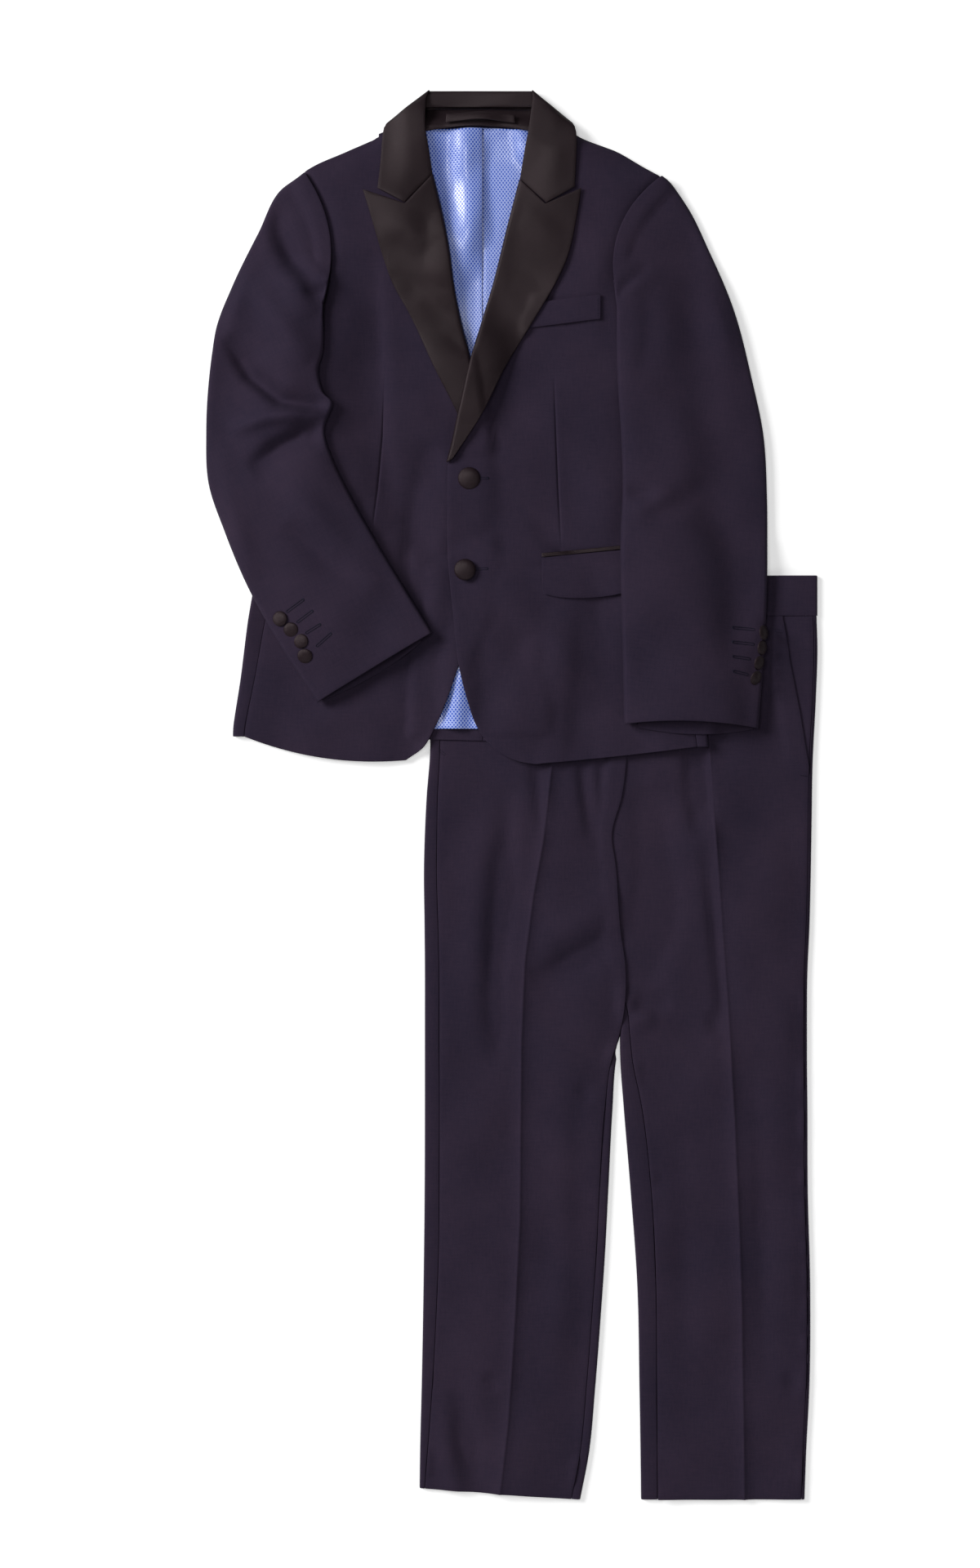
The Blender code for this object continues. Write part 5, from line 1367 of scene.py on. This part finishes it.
def body_half(side, table, pile):
    """Rows of a front, and the side body and back that follow them.

    The front's side seam is at the a end of its rows on the right and at the b end on the left.
    """
    rows = spread(table)
    sign, seam_x, seam_y, column = (-1, 0, 1, 1) if side == "right" else (1, 2, 3, 2)
    sewn = np.interp(rows[:, seam_y], ARMHOLE_SEWN_Y, (0, 1, 1, 0))
    rows[:, seam_x] += sign * ARMHOLE_TURN * sewn
    rise = 6 if side == "right" else 8
    rows[:, rise] += (ARMHOLE_RISE - rows[:, rise]) * sewn
    fold_table = np.array(SIDE_FOLD)[::-1]
    low_rows = rows[rows[:, seam_y] <= ARMPIT_Y]
    x, y = low_rows[:, seam_x], low_rows[:, seam_y]
    flange = np.interp(y, fold_table[:, 0], fold_table[:, column])
    fold_x = x + sign * flange
    under_x = fold_x - sign * SIDE_UNDER
    ends = np.stack([fold_x, y, under_x, y], axis=1)
    seams = (flange, np.full(len(x), UNDER_SEAM))
    side_body = tube_cloth(f"side_{side}", ends, seams, BODY_FOLD, False, columns(SIDE_UNDER),
                           pile.rest, 0 * x)

    back_rows = np.zeros((len(rows), len(Row._fields)))
    back_rows[:, 0] = rows[:, seam_x] + sign * ARMHOLE_SEAM * sewn
    back_rows[:, 1] = rows[:, seam_y]
    back_rows[-len(x):, 0] = under_x - sign * SEAM
    back_rows[:, 2], back_rows[:, 3] = CENTRE_BACK + sign * SEAM / 2, rows[:, seam_y]
    drop = np.clip((BACK_DROP_Y - back_rows[:, 3]) / (BACK_DROP_Y - back_rows[-1, 3]), 0, 1)
    back_rows[:, 3] += (BACK_HEM_Y - back_rows[-1, 3]) * drop
    back_rows[:, 5] = 0.5
    first = len(rows) - len(x)
    armpit = [x[0], y[0] + SEAM, back_rows[first, 2], y[0] + SEAM, 0, 0.5, 0, 0, 0]
    back_rows = np.insert(back_rows, first, armpit, axis=0)
    back = laid_cloth(f"back_{side}", back_rows, pile, folds=BACK_FOLDS, wavy=0.6)
    return rows, side_body, back


def lay_back(laid):
    """Backs, side bodies, linings, neck facing, hanger loop and collar stand."""
    pile = laid.pile
    laid.floor = pile.copy()
    laid_cloth("fall", FALL, pile, wavy=0).lay(pile)
    laid.ground = pile.copy()
    laid.rows_right, side_r, back_r = body_half("right", FRONT_RIGHT, pile)
    laid.rows_left, side_l, back_l = body_half("left", FRONT_LEFT, pile)
    stand_rows = spread(STAND)
    size = len(stand_rows)
    seams = (np.full(size, EDGE_SEAM), np.full(size, -STAND_UNDER))
    stand = tube_cloth("collar_stand", stand_rows, seams, ROLL_FOLD, True, STAND_COLUMNS, pile.rest,
                       np.zeros(size), finish="satin")
    for cloth in (side_r, side_l):
        cloth.settle(pile, upper=False)
        cloth.lay(pile, upper=False)
    for cloth in (back_r, back_l):
        cloth.lay(pile)
    laid.backs = pile.copy()
    linings = [laid_cloth(f"lining_{side}", table, pile, "lining", folds=LINING_FOLDS, wavy=2.0)
               for side, table in (("right", LINING_RIGHT), ("left", LINING_LEFT))]
    for cloth in linings:
        cloth.lay(pile)
    facing = laid_cloth("neck_facing", NECK_FACING, pile, "satin", wavy=0.5)
    facing.lay(pile)
    loop = laid_cloth("hanger_loop", HANGER_LOOP, pile, "satin", wavy=0)
    loop.lay(pile)
    stand.lay(pile)
    laid.sides = side_r, side_l

    for cloth in (side_r, side_l, back_r, back_l):
        cloth.make(["trouser_front_right", "trouser_front_left", "floor"])
    for cloth in linings:
        cloth.make(["back_right", "back_left"])
    facing.make(["lining_right", "lining_left", "back_right", "back_left"], sewn_on=[loop.make()])
    stand.make(["neck_facing"])


def with_corner(along, width, corner, first, last):
    """Columns first to last of each row, moved so that one of them lies on the row's corner."""
    spot = corner * width
    share = (spot[0] - along[0, first]) / (along[0, last] - along[0, first])
    middle = first + round((last - first) * share)
    for start, end, a, b in ((first, middle, along[:, first], spot), (middle, last, spot, along[:, last])):
        steps = np.linspace(0, 1, end - start + 1)[None, :]
        along[:, start:end + 1] = a.copy()[:, None] * (1 - steps) + b.copy()[:, None] * steps


def lapel(side, table, low_pile, pile):
    """Satin lapel that rolls over the front's edge."""
    rows = spread(table)
    width = width_of(rows)
    roll_at_b = side == "right"
    outer, roll = np.full(len(rows), EDGE_SEAM), np.full(len(rows), -LAPEL_UNDER)
    seams = (outer, roll) if roll_at_b else (roll, outer)
    along, levels = tube_columns(width, *seams, ROLL_FOLD, True, columns(WIDTHS["lapel"]))
    along = np.minimum(along, width[:, None])
    end = along.shape[1] - 1
    first, last = (0, end - TURN_POINTS) if roll_at_b else (TURN_POINTS, end)
    with_corner(along, width, rows[:, 5], first, last)
    plan = place(rows, along, rows[:, 4], rows[:, 5])
    low = low_pile.rest(plan)
    high = np.maximum(pile.rest(plan, WIDE), low + 2 * ROLL_FOLD - WALL)
    high = high + folded(plan, LAPEL_FOLDS) + waves(plan, 0.8)
    cloth = Cloth(f"lapel_{side}", plan, levels, low, high, "satin", LAPEL_GRAIN[side])
    cloth.settle(pile)
    return cloth


def bend(first, fold, last):
    """Rows round a fold between two rows, with their levels from 1 down to 0."""
    rows, levels = [], []
    for angle in range(75, -90, -15):
        near = first if angle > 0 else last
        rows.append(fold + (near - fold) * (1 - cos(radians(angle))))
        levels.append((1 + sin(radians(angle))) / 2)
    return np.array(rows), np.array(levels)


def collar(low_pile, pile):
    """Both leaves and the fall under the neck, one strip folded over the shoulders."""
    leaf_r, leaf_l, fall = spread(LEAF_RIGHT), spread(LEAF_LEFT), spread(FALL)
    bend_r = bend(leaf_r[-1], np.array(FOLD_RIGHT), fall[0])
    bend_l = bend(fall[-1], np.array(FOLD_LEFT), leaf_l[0])
    rows = np.concatenate([leaf_r, bend_r[0], fall, bend_l[0], leaf_l])
    level = np.concatenate([np.ones(len(leaf_r)), bend_r[1], np.zeros(len(fall)), 1 - bend_l[1],
                            np.ones(len(leaf_l))])
    share = shares(columns(WIDTHS["collar"]), rows[:, 5]) * np.ones((len(rows), 1))
    plan = place(rows, share * width_of(rows)[:, None], rows[:, 4], rows[:, 5])
    levels = level[:, None] * np.ones((1, plan.shape[1]))
    high = pile.rest(plan) + folded(plan, LAPEL_FOLDS) + waves(plan, 0.6)
    cloth = Cloth("collar", plan, levels, low_pile.rest(plan), high, "satin", COLLAR_GRAIN)
    cloth.settle(pile)
    return cloth


def lay_fronts(laid):
    """Fronts with their lapels, the breast welt and the collar."""
    pile = laid.pile
    before_right = pile.copy()
    front_r = laid_cloth("front_right", laid.rows_right, pile, ground=laid.ground,
                         folds=RIGHT_BODY_FOLDS + dart(DART_RIGHT), line=DART_RIGHT)
    front_r.lay(pile)
    lapel_r = lapel("right", LAPEL_RIGHT, before_right, pile)
    neck_pile = pile.copy()
    lapel_r.lay(pile)

    before_left = pile.copy()
    front_l = laid_cloth("front_left", laid.rows_left, pile, ground=laid.ground,
                         folds=LEFT_BODY_FOLDS + dart(DART_LEFT), line=DART_LEFT)
    front_l.lay(pile)
    front_l.lay(neck_pile)
    lapel_l = lapel("left", LAPEL_LEFT, before_left, pile)
    welt = laid_cloth("breast_welt", BREAST_WELT, pile, grain=POCKET_GRAIN, wavy=0, reach=1)
    welt.lay(pile)
    lapel_l.settle(pile)
    lapel_l.lay(pile)
    leaves = collar(laid.floor, neck_pile)
    leaves.lay(pile)
    front_r.make(["lining_right", "back_right"])
    laid.front_left = front_l, front_l.make()
    lapel_r.make(["front_right"])
    lapel_l.make(["front_left"])
    welt.make(["front_left"])
    leaves.make(["front_right", "front_left", "floor"])


def lay_pocket(laid):
    """Hip pocket: a satin jet with the flap that hangs from below it."""
    jet = laid_cloth("pocket_jet", POCKET_JET, laid.pile, "satin", POCKET_GRAIN, wavy=0, reach=1)
    flap = laid_cloth("pocket_flap", POCKET_FLAP, laid.pile, grain=POCKET_GRAIN, wavy=0.6, reach=2)
    for cloth in (jet, flap, *laid.sides):
        cloth.lay(laid.pile)
    front, thing = laid.front_left
    front.declare(thing, ["lining_left", "back_left", "front_right"], sewn_on=[jet.make()])
    flap.make(["front_left"])


def lay_sleeve(laid, side, table):
    """Under sleeve, which wraps the fold at the back of the arm, and top sleeve."""
    pile = laid.pile
    count, grain = columns(WIDTHS["sleeve"]), SLEEVE_GRAIN[side]
    rows = spread(table)
    ends, bow, loft, gape = rows[:, 0:4], rows[:, 4], rows[:, 5], rows[:, 6]
    seams = [np.full(len(rows), seam) for seam in SLEEVE_SEAMS]

    def height(plan, reach):
        """Beside the armhole a sleeve lies on the back; further down it lies on the front."""
        share = np.clip((plan[..., 1] - ARMPIT_Y) / HEAD_RAMP - HEAD_START, 0, 1)
        return pile.rest(plan, reach) * (1 - share) + laid.backs.rest(plan, reach) * share

    def low(plan):
        return height(plan, NEAR)

    def high(plan):
        return height(plan, WIDE)

    under = tube_cloth(f"under_sleeve_{side}", ends[1:], [seam[1:] for seam in seams], SLEEVE_FOLD, False,
                       count, low, loft[1:], (bow + gape)[1:], grain, high=high)
    under.settle(pile, upper=False)
    under.lay(pile, upper=False)
    top = tube_cloth(f"top_sleeve_{side}", ends, seams, SLEEVE_FOLD, True, count, low, loft, bow, grain,
                     SLEEVE_FOLDS, high=high)
    top.settle(pile)
    top.lay(pile)
    under.lay(pile)
    under.make([f"front_{side}", f"side_{side}"])
    top.make([f"under_sleeve_{side}"])


# ---------------------------------------------------------------- small parts

def primitive(kind, **sizes):
    """New mesh of a kind, as the only selected object."""
    bpy.ops.object.select_all(action="DESELECT")
    getattr(bpy.ops.mesh, f"primitive_{kind}_add")(**sizes)
    return bpy.context.object


@contextmanager
def editing(thing, chosen=None):
    """Edit a mesh with the chosen vertices selected, or all of them."""
    bpy.ops.object.select_all(action="DESELECT")
    bpy.context.view_layer.objects.active = thing
    thing.select_set(True)
    bpy.ops.object.mode_set(mode="EDIT")
    bpy.ops.mesh.select_mode(type="VERT")
    bpy.ops.mesh.select_all(action="DESELECT")
    bpy.ops.object.mode_set(mode="OBJECT")
    for vertex in thing.data.vertices:
        vertex.select = chosen is None or chosen(vertex.co)
    bpy.ops.object.mode_set(mode="EDIT")
    yield
    bpy.ops.object.mode_set(mode="OBJECT")


def rim_height(thing):
    """Height of the selected vertices of a mesh in edit mode."""
    bpy.ops.object.mode_set(mode="OBJECT")
    height = max(v.co.z for v in thing.data.vertices if v.select)
    bpy.ops.object.mode_set(mode="EDIT")
    return height


def copy_of(thing, name):
    """Copy with its own mesh."""
    mesh = thing.data.copy()
    mesh.name = name
    twin = bpy.data.objects.new(name, mesh)
    bpy.context.scene.collection.objects.link(twin)
    return twin


def settled(thing, pile, x, y, heading, lift):
    """Turn a flat thing to its heading, move it to a plan point and bend it over the cloth."""
    thing.data.transform(Matrix.Rotation(radians(heading), 4, "Z"))
    points = np.array([v.co[:] for v in thing.data.vertices])
    points[:, 0:2] += (x * MM, y * MM)
    points[:, 2] += (pile.surface(points[None, :, 0:2] / MM)[0] + lift) * MM
    thing.data.vertices.foreach_set("co", points.ravel())
    thing.data.update()
    thing.data.shade_smooth()


def finish_small(thing, finish):
    thing.data.materials.clear()
    thing.data.materials.append(finish_of(finish))
    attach(thing, "root")


def covered_button(radius):
    """Button covered with satin: a shallow dome with gathered cloth round its rim, on a flat back."""
    thing = primitive("circle", vertices=36, radius=BUTTON_BACK * radius * MM, fill_type="NGON")
    height = BUTTON_HEIGHT * radius * MM
    size = BUTTON_BACK
    with editing(thing):
        for share, level in BUTTON_PROFILE:
            bpy.ops.mesh.extrude_region_move()
            bpy.ops.transform.resize(value=(share / size, share / size, 1))
            rise = level * height - rim_height(thing)
            bpy.ops.transform.translate(value=(0, 0, rise))
            size = share
    smooth = thing.modifiers.new("round", "SUBSURF")
    smooth.levels = smooth.render_levels = 1
    bpy.ops.object.modifier_apply(modifier=smooth.name)
    for vertex in thing.data.vertices:
        out = vertex.co.xy.length / (radius * MM)
        angle = np.arctan2(vertex.co.y, vertex.co.x)
        pleat = max(0.0, 1 - abs(out - PLEAT_AT) / PLEAT_HALF) * cos(PLEATS * angle)
        vertex.co.xy *= 1 + PLEAT_DEPTH * pleat
        if vertex.co.z > 0.5 * height:
            vertex.co.z -= GROOVE_DEPTH * max(0.0, 1 - abs(out - GROOVE_AT) / GROOVE_HALF)
    thing.data.shade_smooth()
    return thing


def add_buttons():
    """Covered buttons, each leaning as it was sewn and where its solid lies."""
    patterns = {}
    for spec in FRONT_BUTTONS + CUFF_BUTTONS:
        if spec.radius not in patterns:
            patterns[spec.radius] = covered_button(spec.radius)
        thing = copy_of(patterns[spec.radius], f"{spec.name}_cover")
        lean, heading = radians(spec.lean), radians(spec.heading)
        axis = Vector((-sin(heading), cos(heading), 0))
        thing.data.transform(Matrix.Rotation(lean, 4, axis))
        low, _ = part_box(spec.name)
        lowest = min(v.co.z for v in thing.data.vertices)
        thing.data.transform(Matrix.Translation((spec.x * MM, spec.y * MM, low.z - lowest)))
        finish_small(thing, "button_satin")
        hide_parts(spec.name)
    for pattern in patterns.values():
        bpy.data.objects.remove(pattern)


def buttonhole_pattern():
    """Ring of close thread, stretched to a slot 10 mm long, with a bar across one end."""
    thing = primitive("torus", major_segments=24, minor_segments=6, major_radius=HOLE_RING * MM,
                      minor_radius=0.3 * MM)
    with editing(thing, lambda co: co.x > 0.1 * MM):
        bpy.ops.transform.translate(value=(HOLE_SLOT * MM, 0, 0))
    with editing(thing, lambda co: co.x > (HOLE_SLOT + 0.6) * MM):
        bpy.ops.transform.resize(value=(1, 1.25, 1.3), center_override=((HOLE_SLOT + HOLE_RING) * MM, 0, 0))
    with editing(thing):
        bpy.ops.mesh.subdivide(number_cuts=1)
        bpy.ops.transform.resize(value=(1, 1, 0.7))
    return thing


def add_buttonholes(pile):
    """Stitched buttonholes beside the buttons."""
    pattern = buttonhole_pattern()
    for spec in BUTTONHOLES:
        thing = copy_of(pattern, spec.name)
        course = Vector((spec.bx - spec.ax, spec.by - spec.ay))
        stretch = (course.length - 2 * HOLE_RING) / HOLE_SLOT
        for vertex in thing.data.vertices:
            if vertex.co.x > 0:
                vertex.co.x *= stretch
        heading = np.degrees(np.arctan2(course.y, course.x))
        settled(thing, pile, spec.ax, spec.ay, heading, HOLE_LIFT)
        finish_small(thing, "thread")
    bpy.data.objects.remove(pattern)


def stitch_pattern():
    """One stitch: a bead 1 mm long whose ends dip into the cloth."""
    thing = primitive("uv_sphere", segments=8, ring_count=6, radius=0.5 * MM)
    with editing(thing):
        bpy.ops.transform.rotate(value=pi / 2, orient_axis="Y", center_override=(0, 0, 0))
        bpy.ops.transform.resize(value=(1, 0.5, 0.5))
    with editing(thing, lambda co: abs(co.x) > 0.35 * MM):
        bpy.ops.transform.translate(value=(0, 0, -0.1 * MM))
    return thing


def add_stitches(pile):
    """Rows of stitches, one piece for each row."""
    pattern = stitch_pattern()
    for row in STITCHES:
        route = np.array(row.route, dtype=float)
        moves = np.diff(route, axis=0)
        at = np.concatenate([[0], np.cumsum(np.linalg.norm(moves, axis=1))])
        beads = []
        for centre in np.arange(row.length / 2, at[-1], row.length + row.gap):
            x, y = np.interp(centre, at, route[:, 0]), np.interp(centre, at, route[:, 1])
            move = moves[min(np.searchsorted(at, centre) - 1, len(moves) - 1)]
            bead = copy_of(pattern, row.name)
            bead.data.transform(Matrix.Diagonal((row.length, 1, 1, 1)))
            settled(bead, pile, x, y, np.degrees(np.arctan2(move[1], move[0])), STITCH_LIFT)
            beads.append(bead)
        bpy.ops.object.select_all(action="DESELECT")
        for bead in beads:
            bead.select_set(True)
        bpy.context.view_layer.objects.active = beads[0]
        if len(beads) > 1:
            bpy.ops.object.join()
        beads[0].name = row.name
        finish_small(beads[0], "thread")
    bpy.data.objects.remove(pattern)


# ---------------------------------------------------------------- stage

def but_seen(tree, lit, seen):
    """A shader for every ray but the camera's, which meets the other shader."""
    path = tree.nodes.new("ShaderNodeLightPath")
    either = tree.nodes.new("ShaderNodeMixShader")
    for socket, value in zip(either.inputs, (path.outputs["Is Camera Ray"], lit, seen)):
        feed(tree, socket, value)
    return either.outputs["Shader"]


def add_floor(stage):
    """Pale floor that the camera sees a little brighter than its light makes it."""
    floor = primitive("plane", size=FLOOR_SIZE, location=(0, 0, -FLOOR_DROP))
    floor.name = "floor"
    finish, tree, shader = new_material("floor")
    fill(tree, shader, Base_Color=stage.floor, Roughness=0.85, Specular_IOR_Level=0.2)
    glow = put(tree, "ShaderNodeEmission", Color=stage.floor, Strength=stage.glow)
    both = tree.nodes.new("ShaderNodeAddShader")
    feed(tree, both.inputs[0], shader.outputs["BSDF"])
    feed(tree, both.inputs[1], glow.outputs["Emission"])
    surface = but_seen(tree, shader.outputs["BSDF"], both.outputs["Shader"])
    fill(tree, tree.nodes["Material Output"], Surface=surface)
    floor.data.materials.append(finish)


def add_light(name, spot, aim, size, power):
    light = bpy.data.lights.new(name, "AREA")
    light.size = size
    light.energy = power
    thing = bpy.data.objects.new(name, light)
    bpy.context.scene.collection.objects.link(thing)
    thing.location = spot
    thing.rotation_euler = (Vector(aim) - Vector(spot)).to_track_quat("-Z", "Y").to_euler()


def add_sky(strength):
    """Even room light; the camera sees it white."""
    world = bpy.data.worlds.new("room")
    bpy.context.scene.world = world
    world.use_nodes = True
    tree = world.node_tree
    lit = fill(tree, tree.nodes["Background"], Color=WHITE, Strength=strength)
    seen = put(tree, "ShaderNodeBackground", Color=WHITE, Strength=SEEN_STRENGTH)
    surface = but_seen(tree, lit.outputs["Background"], seen.outputs["Background"])
    fill(tree, tree.nodes["World Output"], Surface=surface)


def add_camera(stage):
    camera = bpy.data.cameras.new("camera")
    camera.sensor_width = 36
    camera.lens = camera.sensor_width * stage.height / stage.view
    camera.clip_end = 50
    thing = bpy.data.objects.new("camera", camera)
    thing.location = (*VIEW_CENTRE, stage.height)
    bpy.context.scene.collection.objects.link(thing)
    bpy.context.scene.camera = thing


# ---------------------------------------------------------------- operators

class Laid:
    """What the pieces laid so far leave for the next ones."""

    def __init__(self):
        self.pile = Pile()


laid = Laid()


class TUXEDO_OT_stage(bpy.types.Operator):
    """Floor, soft studio lights and the camera straight above."""

    bl_idname = "tuxedo.stage"
    bl_label = "Stage"

    def execute(self, context):
        stage = context.scene.tuxedo_stage
        context.scene.view_settings.view_transform = "Standard"
        add_floor(stage)
        for name, (spot, aim, size) in LIGHTS.items():
            add_light(name, spot, aim, size, getattr(stage, name))
        add_sky(stage.sky)
        add_camera(stage)
        return {"FINISHED"}


class TUXEDO_OT_trousers(bpy.types.Operator):
    """Trousers: both legs, waistband and the facing of the slanted pocket."""

    bl_idname = "tuxedo.trousers"
    bl_label = "Trousers"

    def execute(self, context):
        lay_trousers(laid)
        return {"FINISHED"}


class TUXEDO_OT_back(bpy.types.Operator):
    """Jacket's back, side bodies, lining, neck facing, hanger loop and collar stand."""

    bl_idname = "tuxedo.back"
    bl_label = "Jacket back and lining"

    def execute(self, context):
        lay_back(laid)
        return {"FINISHED"}


class TUXEDO_OT_fronts(bpy.types.Operator):
    """Jacket's fronts, satin lapels, collar and breast welt."""

    bl_idname = "tuxedo.fronts"
    bl_label = "Fronts, lapels and collar"

    def execute(self, context):
        lay_fronts(laid)
        return {"FINISHED"}


class TUXEDO_OT_pocket(bpy.types.Operator):
    """Hip pocket with its satin jet and flap."""

    bl_idname = "tuxedo.pocket"
    bl_label = "Hip pocket"

    def execute(self, context):
        lay_pocket(laid)
        return {"FINISHED"}


class TUXEDO_OT_sleeves(bpy.types.Operator):
    """Both sleeves, each a top and an under sleeve."""

    bl_idname = "tuxedo.sleeves"
    bl_label = "Sleeves"

    def execute(self, context):
        lay_sleeve(laid, "right", SLEEVE_RIGHT)
        lay_sleeve(laid, "left", SLEEVE_LEFT)
        return {"FINISHED"}


class TUXEDO_OT_buttons(bpy.types.Operator):
    """Satin-covered buttons of the front and the cuffs."""

    bl_idname = "tuxedo.buttons"
    bl_label = "Buttons"

    def execute(self, context):
        add_buttons()
        return {"FINISHED"}


class TUXEDO_OT_sewing(bpy.types.Operator):
    """Buttonholes and the rows of stitches that show."""

    bl_idname = "tuxedo.sewing"
    bl_label = "Buttonholes and stitches"

    def execute(self, context):
        add_buttonholes(laid.pile)
        add_stitches(laid.pile)
        return {"FINISHED"}


OPERATORS = (TUXEDO_OT_stage, TUXEDO_OT_trousers, TUXEDO_OT_back, TUXEDO_OT_fronts, TUXEDO_OT_pocket,
             TUXEDO_OT_sleeves, TUXEDO_OT_buttons, TUXEDO_OT_sewing)


class TUXEDO_PT_panel(bpy.types.Panel):
    """Sizes, colours and the steps of the tuxedo."""

    bl_idname = "TUXEDO_PT_panel"
    bl_label = "Tuxedo"
    bl_space_type = "VIEW_3D"
    bl_region_type = "UI"
    bl_category = "Tuxedo"

    def draw(self, context):
        scene = context.scene
        for group in (scene.tuxedo_cloth, scene.tuxedo_colours, scene.tuxedo_stage):
            box = self.layout.box()
            for name in group.__annotations__:
                box.prop(group, name)
        for operator in OPERATORS:
            self.layout.operator(operator.bl_idname)


CLASSES = (TuxedoCloth, TuxedoColours, TuxedoStage, *OPERATORS, TUXEDO_PT_panel)


def register():
    for item in CLASSES:
        bpy.utils.register_class(item)
    bpy.types.Scene.tuxedo_cloth = PointerProperty(type=TuxedoCloth)
    bpy.types.Scene.tuxedo_colours = PointerProperty(type=TuxedoColours)
    bpy.types.Scene.tuxedo_stage = PointerProperty(type=TuxedoStage)


def unregister():
    del bpy.types.Scene.tuxedo_stage
    del bpy.types.Scene.tuxedo_colours
    del bpy.types.Scene.tuxedo_cloth
    for item in reversed(CLASSES):
        bpy.utils.unregister_class(item)


def main():
    register()
    for operator in OPERATORS:
        getattr(bpy.ops.tuxedo, operator.bl_idname.split(".")[1])()


if __name__ == "__main__":
    main()
